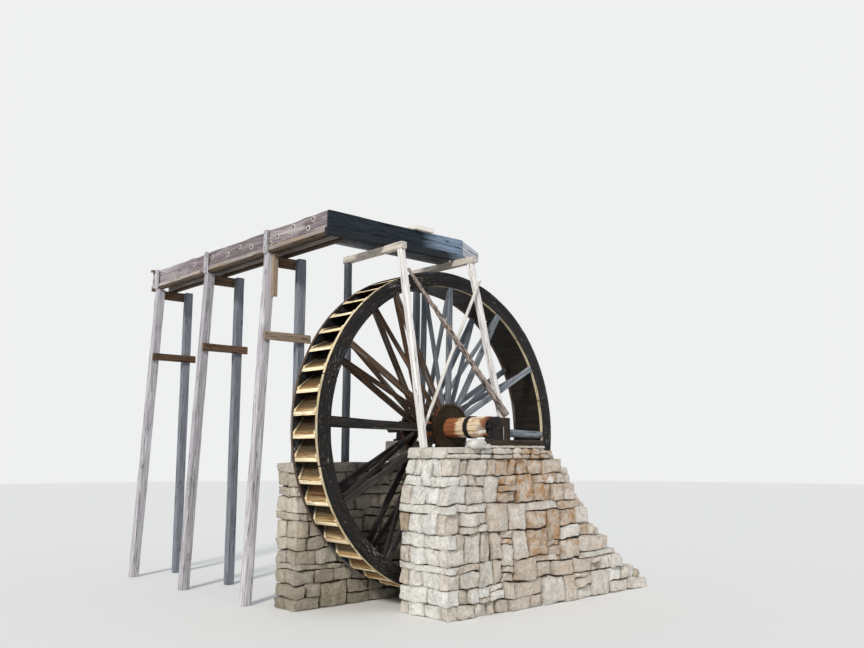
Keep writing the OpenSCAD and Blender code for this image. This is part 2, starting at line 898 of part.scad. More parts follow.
pier();
wing_wall();
pit_wall();
back_block();
bearing_pad();
bearing_beam();
front_bearing();
back_bearing();
left_post();
right_post();
inner_posts();
bark_brace();
white_brace();
trestle_caps();
run_b_sills();
run_b_floor();
run_b_sides();
spout();
cover_board();
run_a_sills();
run_a_floor();
run_a_sides();
run_a_straps();
run_a_end_tie();
outer_posts();
bent_inner_posts();
bent_caps();
bent_girts();
hanging_board();
shaft();
shaft_hoops();
front_gudgeon();
back_gudgeon();
front_hub();
back_hub();
front_arms();
back_arms();
braces_out();
braces_in();
front_shroud();
back_shroud();
sole_boards();
buckets();
front_cleats();
back_cleats();
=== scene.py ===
import math
import random

import bpy
import numpy as np
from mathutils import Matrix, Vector, noise


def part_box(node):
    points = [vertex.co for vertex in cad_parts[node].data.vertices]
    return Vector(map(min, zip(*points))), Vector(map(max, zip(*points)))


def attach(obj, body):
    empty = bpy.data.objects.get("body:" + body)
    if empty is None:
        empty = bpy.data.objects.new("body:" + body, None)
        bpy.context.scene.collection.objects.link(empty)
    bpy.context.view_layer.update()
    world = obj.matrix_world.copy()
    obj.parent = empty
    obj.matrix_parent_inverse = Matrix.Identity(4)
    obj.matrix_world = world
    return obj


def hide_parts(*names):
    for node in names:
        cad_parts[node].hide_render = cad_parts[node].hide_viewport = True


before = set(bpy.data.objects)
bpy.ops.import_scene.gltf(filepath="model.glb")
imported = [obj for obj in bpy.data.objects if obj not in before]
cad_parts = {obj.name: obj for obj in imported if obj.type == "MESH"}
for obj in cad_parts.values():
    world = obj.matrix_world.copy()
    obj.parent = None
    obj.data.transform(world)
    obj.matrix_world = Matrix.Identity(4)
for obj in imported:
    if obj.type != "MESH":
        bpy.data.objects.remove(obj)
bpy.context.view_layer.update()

# One seed for the wavering noise, so that every run makes the same stones and boards
noise.seed_set(11)

# Camera and light

EYE = Vector((-9.604, -9.541, 2.342))
EYE_YAW = math.radians(42.22)
EYE_PITCH = math.radians(8.69)
EYE_LENS = 35.2
EYE_SENSOR = 36
SIGHT_END = 200
SUN_FROM = Vector((-0.80, -0.45, 0.62))
SUN_STRENGTH = 2.45
SUN_WIDTH = math.radians(9)
SUN_COLOUR = (1.0, 0.97, 0.92)
SKY_COLOUR = (0.86, 0.92, 1.0, 1)
SKY_STRENGTH = 0.62
FLOOR_R = 60


def hang(name, data, turn):
    """A camera or a lamp, turned to its direction"""
    held = bpy.data.objects.new(name, data)
    held.rotation_mode = "QUATERNION"
    held.rotation_quaternion = turn
    bpy.context.scene.collection.objects.link(held)
    return held


def set_camera():
    """The photograph's own place and angle"""
    data = bpy.data.cameras.new("camera")
    data.lens = EYE_LENS
    data.sensor_width = EYE_SENSOR
    data.sensor_fit = "HORIZONTAL"
    data.clip_end = SIGHT_END
    level = math.cos(EYE_PITCH)
    ahead = Vector((level * math.sin(EYE_YAW), level * math.cos(EYE_YAW), math.sin(EYE_PITCH)))
    camera = hang("camera", data, ahead.to_track_quat("-Z", "Y"))
    camera.location = EYE
    bpy.context.scene.camera = camera


def set_light():
    """A soft key from the left; the even pale sky comes with the stage"""
    key = bpy.data.lights.new("key", "SUN")
    key.energy = SUN_STRENGTH
    key.angle = SUN_WIDTH
    key.color = SUN_COLOUR
    hang("key", key, SUN_FROM.to_track_quat("Z", "Y"))


# Node trees

def tint(code):
    """A colour written as on paper, turned into light values"""
    parts = [int(code[i:i + 2], 16) / 255 for i in (0, 2, 4)]
    return tuple(c / 12.92 if c <= 0.04045 else ((c + 0.055) / 1.055) ** 2.4 for c in parts) + (1.0,)


class Paint:
    """One node tree, with a short name for each kind of node that the finishes use"""

    def __init__(self, tree):
        self.tree = tree
        tree.nodes.clear()

    def put(self, kind, inputs=None, **settings):
        """One node, its sockets set or linked by name or number; a written colour becomes light"""
        made = self.tree.nodes.new(kind)
        for name, value in settings.items():
            setattr(made, name, value)
        for socket, value in (inputs or {}).items():
            if isinstance(value, bpy.types.NodeSocket):
                self.tree.links.new(value, made.inputs[socket])
            else:
                made.inputs[socket].default_value = tint(value) if isinstance(value, str) else value
        return made

    def here(self):
        return self.put("ShaderNodeTexCoord").outputs["Object"]

    def mark(self, name, output="Fac"):
        return self.put("ShaderNodeAttribute", attribute_name=name).outputs[output]

    def along(self, scale):
        """The piece's own grain, drawn out by a different scale along and across"""
        grain = self.mark("grain", "Vector")
        return self.put("ShaderNodeMapping", {"Vector": grain, "Scale": scale}).outputs[0]

    def cloud(self, coords, scale=1.0, detail=4.0, rough=0.55, bend=0.0):
        return self.put("ShaderNodeTexNoise", {
            "Vector": coords, "Scale": scale, "Detail": detail, "Roughness": rough, "Distortion": bend
        }).outputs["Fac"]

    def ramp(self, value, *stops):
        """Stops are pairs of place and grey value"""
        made = self.put("ShaderNodeValToRGB", {"Fac": value})
        points = made.color_ramp.elements
        while len(points) < len(stops):
            points.new(0.5)
        for point, (place, grey) in zip(points, stops):
            point.position = place
            point.color = (grey, grey, grey, 1)
        return made.outputs["Color"]

    def over(self, share, base, top, mode="MIX"):
        inputs = {0: share, 6: base, 7: top}
        return self.put("ShaderNodeMix", inputs, data_type="RGBA", blend_type=mode).outputs[2]

    def reckon(self, kind, a, b):
        return self.put("ShaderNodeMath", {0: a, 1: b}, operation=kind).outputs[0]

    def times(self, a, b):
        return self.reckon("MULTIPLY", a, b)

    def plus(self, a, b):
        return self.reckon("ADD", a, b)

    def less(self, a, b):
        return self.reckon("SUBTRACT", a, b)

    def vector(self, kind, *inputs):
        made = self.put("ShaderNodeVectorMath", dict(enumerate(inputs)), operation=kind)
        return made.outputs["Value" if kind in ("DOT_PRODUCT", "LENGTH") else "Vector"]

    def place(self, coords, axis):
        return self.put("ShaderNodeSeparateXYZ", {0: coords}).outputs[axis]

    def past(self, coords, axis, start, stop, waver, amount):
        """0 before start and 1 after stop along an axis, with a wavering border"""
        at = self.plus(self.place(coords, axis), self.times(self.less(waver, 0.5), amount))
        return self.put("ShaderNodeMapRange", {0: at, 1: start, 2: stop}).outputs[0]

    def facets(self, coords, scale):
        """Height of a surface split into small flat facets that lean each its own way"""
        sway = self.put("ShaderNodeTexNoise", {"Vector": coords, "Scale": 7.0, "Detail": 3.0})
        sway = self.vector("MULTIPLY", sway.outputs["Color"], (0.09, 0.09, 0.09))
        moved = self.vector("ADD", coords, sway)
        cell = self.put("ShaderNodeTexVoronoi", {"Vector": moved, "Scale": scale, "Randomness": 1.0})
        lean = self.vector("SUBTRACT", cell.outputs["Color"], (0.5, 0.5, 0.5))
        way = self.vector("SUBTRACT", moved, cell.outputs["Position"])
        return self.times(self.vector("DOT_PRODUCT", lean, way), scale)

    def surface(self, colour, rough, height, depth=0.004, metal=0.0, shine=0.15):
        """Closes the tree with its shader and bump"""
        bump = self.put("ShaderNodeBump", {"Height": height, "Distance": depth, "Strength": 1.0})
        shader = self.put("ShaderNodeBsdfPrincipled", {
            "Base Color": colour, "Roughness": rough, "Metallic": metal, "Specular IOR Level": shine,
            "Normal": bump.outputs[0]
        })
        self.put("ShaderNodeOutputMaterial", {"Surface": shader.outputs[0]})


def fresh(name):
    material = bpy.data.materials.new(name)
    material.use_nodes = True
    return material, Paint(material.node_tree)


# Finishes

front_low, front_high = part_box("front_shroud")
back_low, back_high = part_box("back_shroud")
WHEEL_R = (front_high.z - front_low.z) / 2
AXLE_Z = (front_high.z + front_low.z) / 2

# How far the grain's patterns are drawn out along and across a board
FIBRES = (2.2, 75, 75)
STREAKS = (0.6, 15, 15)
SPLITS = (0.8, 26, 26)
SMALL_KNOTS = (1.7, 4.6, 4.6)
STAINS = (0.9, 8, 8)
SCRAPES = (9, 60, 60)
BARK_RIDGES = (9, 42, 42)
BARK_SCALES = (20, 55, 55)
# A board's tone turns its colour darker or lighter round this middle; on the buckets it carries painted
# shade
TONE_MIDDLE, TONE_SWING = 0.79, 0.42


def timber(name, pale, middle, deep, stain=None, stain_share=0.5, moss=None, moss_share=0.4,
           checks=1.0, fleck=None, gloss=0.8, fades=()):
    """Weathered wood, its grain laid along each board"""
    material, p = fresh(name)
    here = p.here()
    fibre = p.cloud(p.along(FIBRES), detail=6, rough=0.6, bend=0.3)
    streak = p.cloud(p.along(STREAKS), detail=4, bend=0.4)
    split = p.cloud(p.along(SPLITS), detail=2, rough=0.4, bend=0.4)
    crack = p.ramp(split, (0.487, 0.0), (0.5, checks), (0.513, 0.0))
    colour = p.over(p.ramp(fibre, (0.34, 0.0), (0.66, 1.0)), deep, pale)
    colour = p.over(p.ramp(streak, (0.36, 0.85), (0.6, 0.1)), colour, middle)
    shade = p.plus(p.times(p.mark("tone"), TONE_SWING), TONE_MIDDLE)
    shades = p.put("ShaderNodeCombineColor", {0: shade, 1: shade, 2: shade}).outputs[0]
    colour = p.over(1.0, colour, shades, "MULTIPLY")
    knots = p.put("ShaderNodeTexVoronoi", {"Vector": p.along(SMALL_KNOTS), "Scale": 1.0, "Randomness": 1.0})
    colour = p.over(p.ramp(knots.outputs["Distance"], (0.07, 0.85), (0.11, 0.0)), colour, deep)
    if stain:
        patch = p.cloud(p.along(STAINS), detail=5, rough=0.6, bend=0.6)
        share = p.ramp(patch, (0.62 - 0.25 * stain_share, 0.0), (0.66, 0.8))
        colour = p.over(share, colour, stain)
    for axis, start, stop, code in fades:
        share = p.past(here, axis, start, stop, streak, 1.2 * abs(stop - start) + 0.3)
        worn = p.over(p.ramp(fibre, (0.34, 0.35), (0.6, 1.0)), deep, code)
        colour = p.over(share, colour, worn)
    if moss:
        growth = p.cloud(here, 2.3, detail=6, rough=0.65)
        share = p.ramp(growth, (0.68 - 0.3 * moss_share, 0.0), (0.7, 0.8))
        colour = p.over(share, colour, moss)
    if fleck:
        # Scrapes that lie along the grain, more in some places than in others
        worn = p.times(p.less(p.cloud(here, 1.3, detail=3), 0.42), 0.5)
        speck = p.plus(p.cloud(p.along(SCRAPES), detail=4, rough=0.65), worn)
        colour = p.over(p.ramp(speck, (0.675, 0.0), (0.74, 0.65)), colour, fleck)
    in_crack = tuple(0.22 * c for c in tint(deep)[:3]) + (1.0,)
    colour = p.over(crack, colour, in_crack)
    height = p.less(p.times(fibre, 0.5), p.times(crack, 1.2))
    height = p.plus(height, p.times(streak, 0.5))
    rough = p.ramp(fibre, (0.2, gloss - 0.12), (0.8, min(1.0, gloss + 0.12)))
    p.surface(colour, rough, height, depth=0.006)
    return material


def limestone(name, cream, ochre, grey, dirt, damp=0.0):
    """Rough field stone; each stone has its own tone and warmth, and grime in its joints"""
    material, p = fresh(name)
    here = p.here()
    tone = p.mark("tone")
    mottle = p.cloud(here, 7.5, detail=8, rough=0.7)
    grain = p.cloud(here, 38, detail=8, rough=0.78)
    patch = p.cloud(here, 1.7, detail=5, rough=0.6)
    facet = p.plus(p.facets(here, 8.0), p.times(p.facets(here, 21.0), 0.5))
    colour = p.over(tone, grey, cream)
    share = p.times(p.mark("warmth"), p.ramp(mottle, (0.34, 0.05), (0.62, 0.95)))
    colour = p.over(share, colour, ochre)
    # Pale stones are also the least blotched
    blotch = p.plus(p.times(tone, -0.65), 1.0)
    colour = p.over(p.times(p.ramp(mottle, (0.32, 0.7), (0.45, 0.0)), blotch), colour, grey)
    hollow = p.plus(facet, p.times(mottle, 0.6))
    colour = p.over(p.times(p.ramp(hollow, (-0.02, 0.75), (0.17, 0.0)), blotch), colour, grey)
    colour = p.over(p.ramp(grain, (0.29, 0.7), (0.42, 0.0)), colour, dirt)
    pits = p.put("ShaderNodeTexVoronoi", {"Vector": here, "Scale": 46.0}).outputs["Distance"]
    pit = p.times(p.ramp(pits, (0.0, 0.8), (0.3, 0.0)), p.ramp(patch, (0.45, 0.0), (0.6, 1.0)))
    colour = p.over(pit, colour, dirt)
    soil = p.times(p.mark("grime"), p.ramp(grain, (0.3, 0.9), (0.65, 0.1)))
    colour = p.over(soil, colour, dirt)
    if damp:
        low_down = p.ramp(p.times(p.place(here, 2), 0.4), (0.0, damp), (0.5, 0.0))
        colour = p.over(p.times(low_down, mottle), colour, "4d4a35")
    height = p.plus(p.times(mottle, 1.3), p.times(grain, 0.55))
    height = p.less(height, p.times(pit, 0.4))
    height = p.plus(height, p.times(facet, 1.3))
    p.surface(colour, p.ramp(mottle, (0.2, 0.82), (0.8, 0.97)), height, depth=0.045)
    return material


def mortar(name, pale, deep):
    material, p = fresh(name)
    here = p.here()
    sand = p.cloud(here, 55, detail=5, rough=0.7)
    patch = p.cloud(here, 4, detail=4)
    colour = p.over(p.ramp(patch, (0.35, 0.0), (0.65, 1.0)), deep, pale)
    colour = p.over(p.ramp(sand, (0.3, 0.4), (0.6, 0.0)), colour, deep)
    p.surface(colour, p.ramp(sand, (0.2, 0.85), (0.8, 1.0)), sand, depth=0.008)
    return material


def cast_iron(name, base, rust, moss=None, rust_share=0.5, fleck=None, rusty_rim=None):
    """Old iron: dull skin, rust in patches, and moss where it stays wet"""
    material, p = fresh(name)
    here = p.here()
    skin = p.cloud(here, 14, detail=7, rough=0.7)
    patch = p.cloud(here, 4.5, detail=6, rough=0.65, bend=0.5)
    pitting = p.cloud(here, 70, detail=3)
    colour = p.over(p.ramp(skin, (0.3, 0.0), (0.7, 0.5)), base, rust)
    colour = p.over(p.ramp(patch, (0.66 - 0.3 * rust_share, 0.0), (0.70, 0.9)), colour, rust)
    if moss:
        growth = p.cloud(here, 7.5, detail=6, rough=0.7)
        colour = p.over(p.ramp(growth, (0.42, 0.2), (0.56, 0.95)), colour, moss)
    if rusty_rim:
        flat = p.vector("MULTIPLY", p.vector("SUBTRACT", here, (0, 0, AXLE_Z)), (1, 0, 1))
        rim = p.ramp(p.vector("LENGTH", flat), (rusty_rim - 0.014, 0.0), (rusty_rim, 1.0))
        rim = p.times(rim, p.ramp(skin, (0.46, 0.0), (0.6, 0.85)))
        colour = p.over(rim, colour, "86472c")
    if fleck:
        colour = p.over(p.ramp(p.cloud(here, 60, detail=2), (0.68, 0.0), (0.72, 0.8)), colour, fleck)
    rough = p.ramp(skin, (0.25, 0.5), (0.75, 0.92))
    height = p.plus(p.times(skin, 0.7), p.times(pitting, 0.5))
    p.surface(colour, rough, height, depth=0.004, metal=0.25, shine=0.3)
    return material


def knot_wood(name, pale, deep):
    """Rings of a knot, dark at the heart"""
    material, p = fresh(name)
    grain = p.cloud(p.here(), 60, detail=4)
    colour = p.over(p.mark("heart"), deep, pale)
    colour = p.over(p.ramp(grain, (0.35, 0.5), (0.6, 0.0)), colour, deep)
    p.surface(colour, p.ramp(grain, (0.2, 0.7), (0.8, 0.95)), grain, depth=0.003)
    return material


def bark_skin(name, pale, deep):
    material, p = fresh(name)
    ridge = p.cloud(p.along(BARK_RIDGES), detail=5, rough=0.65, bend=0.8)
    scale = p.cloud(p.along(BARK_SCALES), detail=3)
    colour = p.over(p.ramp(ridge, (0.38, 0.0), (0.58, 1.0)), deep, pale)
    colour = p.over(p.ramp(scale, (0.55, 0.0), (0.7, 0.5)), colour, "9b8d7f")
    p.surface(colour, p.ramp(ridge, (0.2, 0.85), (0.8, 1.0)), ridge, depth=0.012)
    return material


# Each finish: how it is made, its colours, and what else it shows
RECIPES = {
    "limestone": (limestone, "fffdf6 c08a4c c4b29a 64533d", {}),
    "pit_stone": (limestone, "e4dac9 a98658 aaa194 5f564a", dict(damp=1.0)),
    "mortar": (mortar, "7c6c58 3a3025", {}),
    "dark_iron": (cast_iron, "191a1e 35261c", dict(fleck="8f8a82", rust_share=0.2)),
    "hub_iron": (cast_iron, "30271f 553223", dict(moss="35301f", rust_share=0.3, rusty_rim=0.386)),
    "hoop_rust": (cast_iron, "4a2a22 6d3a2c", dict(rust_share=0.7)),
    "pale_iron": (cast_iron, "a9a9a6 6f675e", dict(rust_share=0.1)),
    "bolt_iron": (cast_iron, "383331 5b3f2e", dict(rust_share=0.6)),
    "bark": (bark_skin, "bcaca2 2c231e", {}),
    "knot": (knot_wood, "cfc6c2 3b302f", {}),
    "bearing_timber": (timber, "5b4c40 382d26 1f1814", dict(moss="3a3426")),
    "silver_timber": (timber, "fcfaf7 e9e5e1 b7b0aa", dict(checks=0.8, gloss=0.85)),
    "white_pole": (timber, "f8f5ef e2ddd4 b8b0a5", dict(checks=0.6)),
    "grey_timber": (timber, "9fa3aa 7d8189 55585e", {}),
    "cap_timber": (timber, "f8f1e6 e3d9cd a0927f", {}),
    "flume_floor": (timber, "6b5743 4a3b2e 2b211a", dict(stain="3a4034")),
    "flume_side": (timber, "3d4650 283039 171b20", dict(fades=[(0, -0.5, -0.14, "92a6bc")])),
    "spout_board": (timber, "dcdee0 b5bac2 7f868f", dict(stain="efece6", stain_share=0.4)),
    "side_flume": (timber, "a3979a 776b6c 4d4243", dict(stain="bfb5b5", stain_share=0.36, checks=0.7,
                                                        fades=[(1, 4.2, 8.0, "c3bbbe")])),
    "sill_timber": (timber, "cbc3be a0958f 675b53", dict(stain="a78d6e", stain_share=0.25)),
    # Painted shade: brown wood darkened for the sill's lower layer, which lies in shadow
    "sill_brown": (timber, "6f5c49 43382f 231d19", {}),
    "dark_sill": (timber, "3f454c 2a2e33 17191c", dict(fades=[(0, 0.1, 0.45, "7f8a94")])),
    "brown_plank": (timber, "8a6f57 5e4939 35281f", {}),
    "pale_plank": (timber, "b7a48f 94816e 5f5145", {}),
    "post_timber": (timber, "eeebed b6b1b6 746f77", dict(checks=0.9)),
    "axle_timber": (timber, "fff4e0 ecd1a8 a5774c", dict(fades=[(1, 0.27, 0.33, "975638"),
                                                                (1, -0.2, -0.25, "8f5d48")])),
    "arm_timber": (timber, "7d6552 5a4638 33281f", dict(stain="8d8882", stain_share=0.25)),
    "blue_arm": (timber, "a9afb5 7b8187 42474d", {}),
    "dark_arm": (timber, "4a4541 2f2b29 1a1817", dict(stain="6d6a68", stain_share=0.2)),
    # The shrouds' dark wood is darkened further as painted shade; the front rim's edges are paler as painted
    # sunlight
    "shroud_timber": (timber, "393633 211f1f 0f0e0f", dict(stain="3d444d", stain_share=0.1, moss="26271c",
                                                           moss_share=0.25, fleck="b5b2ae", gloss=0.62)),
    "rim_timber": (timber, "fbf0d6 e0cb9c 9c8355", dict(moss="6b6540", moss_share=0.05)),
    "sole_timber": (timber, "3a3028 221c17 110e0b", dict(moss="2b2b1e", gloss=0.6)),
    "bucket_timber": (timber, "f3ddad b98f56 6b4422", dict(stain="7a4820", stain_share=0.42, gloss=0.7)),
    # Painted shade: a near black copy of the bucket wood for the boards' undersides
    "bucket_dark": (timber, "33291f 1f1813 100c0a", dict(moss="26261a", gloss=0.6)),
    # Painted sunlight: a paler copy of the bucket wood for the lips that face out
    "lip_timber": (timber, "fff6e0 ecd9b0 b99a66", {}),
    "cleat_timber": (timber, "fbefd2 e6cf9f a38553", {}),
}
FINISH = {name: make(name, *colours.split(), **how) for name, (make, colours, how) in RECIPES.items()}


# The bench: how boards, stones and bolts are made

def clear_selection():
    bpy.ops.object.select_all(action="DESELECT")


def settle():
    """Moves a new object's place and turn into its mesh"""
    bpy.ops.object.transform_apply(location=True, rotation=True, scale=True)
    return bpy.context.object


def whole(operator, **how):
    """Runs an edit mode operator on all of a new primitive"""
    bpy.ops.object.mode_set(mode="EDIT")
    bpy.ops.mesh.select_all(action="SELECT")
    operator(**how)
    bpy.ops.object.mode_set(mode="OBJECT")
    return bpy.context.object


def shaped(blank, mode, test, operator, **how):
    """Runs an edit mode operator on only the edges or faces whose corners pass the test"""
    mesh = blank.data
    for group in (mesh.vertices, mesh.edges, mesh.polygons):
        group.foreach_set("select", [False] * len(group))
    bpy.context.tool_settings.mesh_select_mode = (False, mode == "EDGE", mode == "FACE")
    for item in mesh.edges if mode == "EDGE" else mesh.polygons:
        item.select = test([mesh.vertices[i].co for i in item.vertices])
    bpy.ops.object.mode_set(mode="EDIT")
    operator(**how)
    bpy.ops.object.mode_set(mode="OBJECT")
    return bpy.context.object


def cut_across(blank, cuts, axis=0):
    """Cuts the long edges that run along an axis"""
    return shaped(blank, "EDGE", lambda ends: abs(ends[0][axis] - ends[1][axis]) > 1,
                  bpy.ops.mesh.subdivide, number_cuts=cuts)


# Where a board's broken edges begin, as a share of its half width
EDGE_RING = 0.9
RIM = 0.9


def squared_blank(cuts):
    """A cube with broken edges, cut across its length"""
    clear_selection()
    bpy.ops.mesh.primitive_cube_add(size=2)
    return cut_across(whole(bpy.ops.mesh.bevel, offset=1 - EDGE_RING, segments=1, affect="EDGES"), cuts)


def rock_blank(cuts):
    """A cube with each face cut into squares"""
    clear_selection()
    bpy.ops.mesh.primitive_cube_add(size=2)
    return whole(bpy.ops.mesh.subdivide, number_cuts=cuts)


def facing_blank(cuts):
    """A stone for the middle of a wall: fine squares on its face, one long panel on each side"""
    blank = shaped(rock_blank(cuts), "FACE", lambda ring: max(c.z for c in ring) < -RIM,
                   bpy.ops.mesh.dissolve_faces)
    return shaped(blank, "EDGE", lambda ends: abs(ends[0].z - ends[1].z) < 0.01 and abs(ends[0].z) < RIM,
                  bpy.ops.mesh.dissolve_edges, use_verts=True)


def pole_blank(sides, cuts):
    """A round bar along X, cut across its length"""
    clear_selection()
    bpy.ops.mesh.primitive_cylinder_add(vertices=sides, radius=1, depth=2, rotation=(0, math.pi / 2, 0))
    return cut_across(settle(), cuts)


def nut_blank():
    """A six-sided nut on a round washer"""
    clear_selection()
    bpy.ops.mesh.primitive_cylinder_add(vertices=16, radius=1.75, depth=0.3, location=(0, 0, 0.15))
    washer = bpy.context.object
    bpy.ops.mesh.primitive_cylinder_add(vertices=6, radius=1.0, depth=0.9, location=(0, 0, 0.75))
    nut_top = shaped(bpy.context.object, "FACE", lambda ring: min(c.z for c in ring) > 0.4,
                     bpy.ops.mesh.inset, thickness=0.18, depth=0.12)
    clear_selection()
    washer.select_set(True)
    nut_top.select_set(True)
    bpy.context.view_layer.objects.active = washer
    bpy.ops.object.join()
    return settle()


def knot_blank():
    """A round knot that stands up a little, with a sunk heart"""
    clear_selection()
    bpy.ops.mesh.primitive_cylinder_add(vertices=14, radius=1, depth=0.2, location=(0, 0, -0.1))
    blank = settle()
    for inward, rise in ((0.22, 0.3), (0.22, 0.1), (0.2, -0.12), (0.2, -0.16)):
        blank = shaped(blank, "FACE", lambda ring: len(ring) > 4 and min(c.z for c in ring) > -0.1,
                       bpy.ops.mesh.inset, thickness=inward, depth=rise)
    return blank


BLANKS = {
    "short": squared_blank(3), "plank": squared_blank(9), "long": squared_blank(19),
    "rock": rock_blank(4), "facing": facing_blank(5), "pole": pole_blank(20, 30),
    "bark_pole": pole_blank(16, 130), "nut": nut_blank(), "knot": knot_blank(),
}


def points(blank):
    co = np.empty(len(blank.data.vertices) * 3)
    blank.data.vertices.foreach_get("co", co)
    return co.reshape(-1, 3)


SHAPES = {name: points(blank) for name, blank in BLANKS.items()}


def mark(part, name, value):
    """Gives each point a value that the finish reads; the grain is a place, all else a number"""
    count = len(part.data.vertices)
    kind, field, shape = "FLOAT", "value", count
    if name == "grain":
        kind, field, shape = "FLOAT_VECTOR", "vector", (count, 3)
    made = part.data.attributes.new(name, kind, "POINT")
    made.data.foreach_set(field, np.broadcast_to(np.asarray(value, np.float32), shape).ravel())


def copy_blank(kind, world, finish, **marks):
    """Its own mesh for each copy, with its points in place and its marks for the finish"""
    part = BLANKS[kind].copy()
    part.data = BLANKS[kind].data.copy()
    bpy.context.scene.collection.objects.link(part)
    part.data.vertices.foreach_set("co", np.asarray(world, float).ravel())
    for name, value in marks.items():
        mark(part, name, value)
    part.data.materials.clear()
    part.data.materials.append(FINISH[finish])
    part.data.update()
    return part


def beside(way):
    """A direction that a given one doesn't run along"""
    return Vector((0, 0, 1)) if abs(Vector(way).normalized().z) < 0.9 else Vector((1, 0, 0))


def laid(centre, along, across):
    """Turns a board's own length, width and thickness into its place"""
    x = Vector(along).normalized()
    z = x.cross(Vector(across)).normalized()
    axes = np.array([x, z.cross(x), z])
    return lambda local: local @ axes + np.array(centre)


def facing_out(shape, centre, out):
    """Sets a small shape on a surface"""
    z = Vector(out).normalized()
    x = z.cross(beside(z)).normalized()
    return shape @ np.array([x, z.cross(x), z]) + np.array(centre)


def board(kind, size, place, rng, finish, edge=0.005, rough=0.003, bow=0.0, ragged=0.0, tone=None,
          grain_order=(0, 1, 2)):
    """A board cut to size, with broken edges and the small bends of old wood"""
    half = np.array(size) / 2
    unit = SHAPES[kind]
    level = np.abs(unit)
    broken = min(edge, 0.35 * half.min())
    inside = unit / EDGE_RING * (half - broken)
    outside = np.sign(unit) * (half - (1 - level) / (1 - EDGE_RING) * broken)
    local = np.where(level < EDGE_RING + 1e-3, inside, outside)
    shift = np.array([rng.uniform(0, 60) for _ in range(3)])
    grain = local + shift
    sway = rng.uniform(-1, 1) * bow
    for i, (x, y, z) in enumerate(grain):
        wave = noise.noise_vector(Vector((x * 2.6, y * 11, z * 11)))
        local[i] += rough * np.array([0.6 * wave.x, wave.y, wave.z])
        if ragged and unit[i][1] > 0.5:
            local[i][1] += ragged * noise.noise(Vector((x * 3.1, shift[2], 0)))
    arch = 1 - (local[:, 0] / half[0]) ** 2
    local[:, 2] += sway * arch
    local[:, 1] += bow * rng.uniform(-0.6, 0.6) * arch
    shade = rng.random() if tone is None else tone
    return copy_blank(kind, place(local), finish, grain=grain[:, grain_order], tone=shade)


def box_board(low, high, along, rng, finish, kind="plank", edge_up=False, **how):
    """A board that fills the box between two corners, its length along the named axis"""
    low, high = Vector(low), Vector(high)
    order = {"x": (0, 1, 2), "y": (1, 0, 2), "z": (2, 0, 1)}[along]
    if edge_up:
        order = (order[0], 2, order[1])
    unit = np.eye(3)
    place = laid((low + high) / 2, unit[order[0]], unit[order[1]])
    return board(kind, [(high - low)[i] for i in order], place, rng, finish, **how)


def slab(low, high, axis, start, stop):
    """The part of a box between two places along an axis"""
    low, high = list(low), list(high)
    low[axis], high[axis] = start, stop
    return low, high


def pole(start, end, start_r, end_r, rng, finish, rough=0.004, bend=0.01, kind="pole", lumps=7):
    """A round pole with a slight bend, thicker at one end"""
    start, end = Vector(start), Vector(end)
    unit = SHAPES[kind]
    radius = start_r + (end_r - start_r) * (unit[:, 0] + 1) / 2
    length = (end - start).length
    local = np.column_stack([unit[:, 0] * length / 2, unit[:, 1] * radius, unit[:, 2] * radius])
    shift = rng.uniform(0, 60)
    for i, (x, y, z) in enumerate(local):
        lump = noise.noise(Vector((x * lumps, y * 30, z * 30 + shift)))
        lump += 0.7 * noise.noise(Vector((x * 2 + shift, 0, 0)))
        local[i][1:] *= 1 + rough / radius[i] * lump
        local[i][1] += bend * noise.noise(Vector((x * 0.9 + shift, 3, 0)))
        local[i][2] += bend * noise.noise(Vector((x * 0.9 + shift, 0, 9)))
    place = laid((start + end) / 2, end - start, beside(end - start))
    return copy_blank(kind, place(local), finish, grain=local + shift, tone=rng.random())


def nut(centre, out, size, finish="bolt_iron"):
    return copy_blank("nut", facing_out(SHAPES["nut"] * size, centre, out), finish, tone=0.5)


STONE_CREASE = 32
ROUND_CREASE = 60


def assemble(name, parts, body, nodes=(), crease=38):
    """Joins the parts into one piece that rides with its body"""
    clear_selection()
    for part in parts:
        part.select_set(True)
    bpy.context.view_layer.objects.active = parts[0]
    if len(parts) > 1:
        bpy.ops.object.join()
    piece = bpy.context.object
    piece.name = name
    piece.data.name = name
    bpy.ops.object.shade_smooth_by_angle(angle=math.radians(crease))
    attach(piece, body)
    if nodes:
        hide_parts(*nodes)
    return piece


def plain_piece(name, seed, node, slot, boxes, along, finish, **how):
    """A fixed piece that is only one or more boards of one kind"""
    rng = random.Random(seed)
    parts = [box_board(low, high, along, rng, finish, **how) for low, high in boxes]
    assemble(name, parts, "plant", [node])


# Stonework

JOINT = 0.010
SIDE_JOINT = 0.8 * JOINT
FACING = 0.2
MORTAR_BACK = 0.075
CHIP_DEPTH = 0.026
COURSES = [0.190, 0.220, 0.230, 0.100, 0.230, 0.210, 0.280, 0.130, 0.270, 0.150, 0.240, 0.175]
# How far each course of the broken wall reaches, as a share of its length
REACH = [1, 0.864, 0.711, 0.653, 0.556, 0.423, 0.356, 0.287, 0.218, 0.186, 0.094]
pier_low, pier_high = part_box("pier")
wing_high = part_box("wing_wall")[1]
PIER_TOP = pier_high.z
PIER_BACK = pier_high.y
PIER_RIGHT = pier_high.x
PIER_FRONT = -PIER_BACK
PIER_LEFT = -1.0
PIER_LEAN = PIER_LEFT - pier_low.x
PIER_KNEE = 0.9
BATTER = PIER_FRONT - pier_low.y
WING_BACK = wing_high.y
WING_LENGTH = wing_high.x - PIER_RIGHT
WING_HALF = (WING_BACK - PIER_FRONT) / 2
LEFT, RIGHT, FRONT, BACK, UP = (-1, 0, 0), (1, 0, 0), (0, -1, 0), (0, 1, 0), (0, 0, 1)


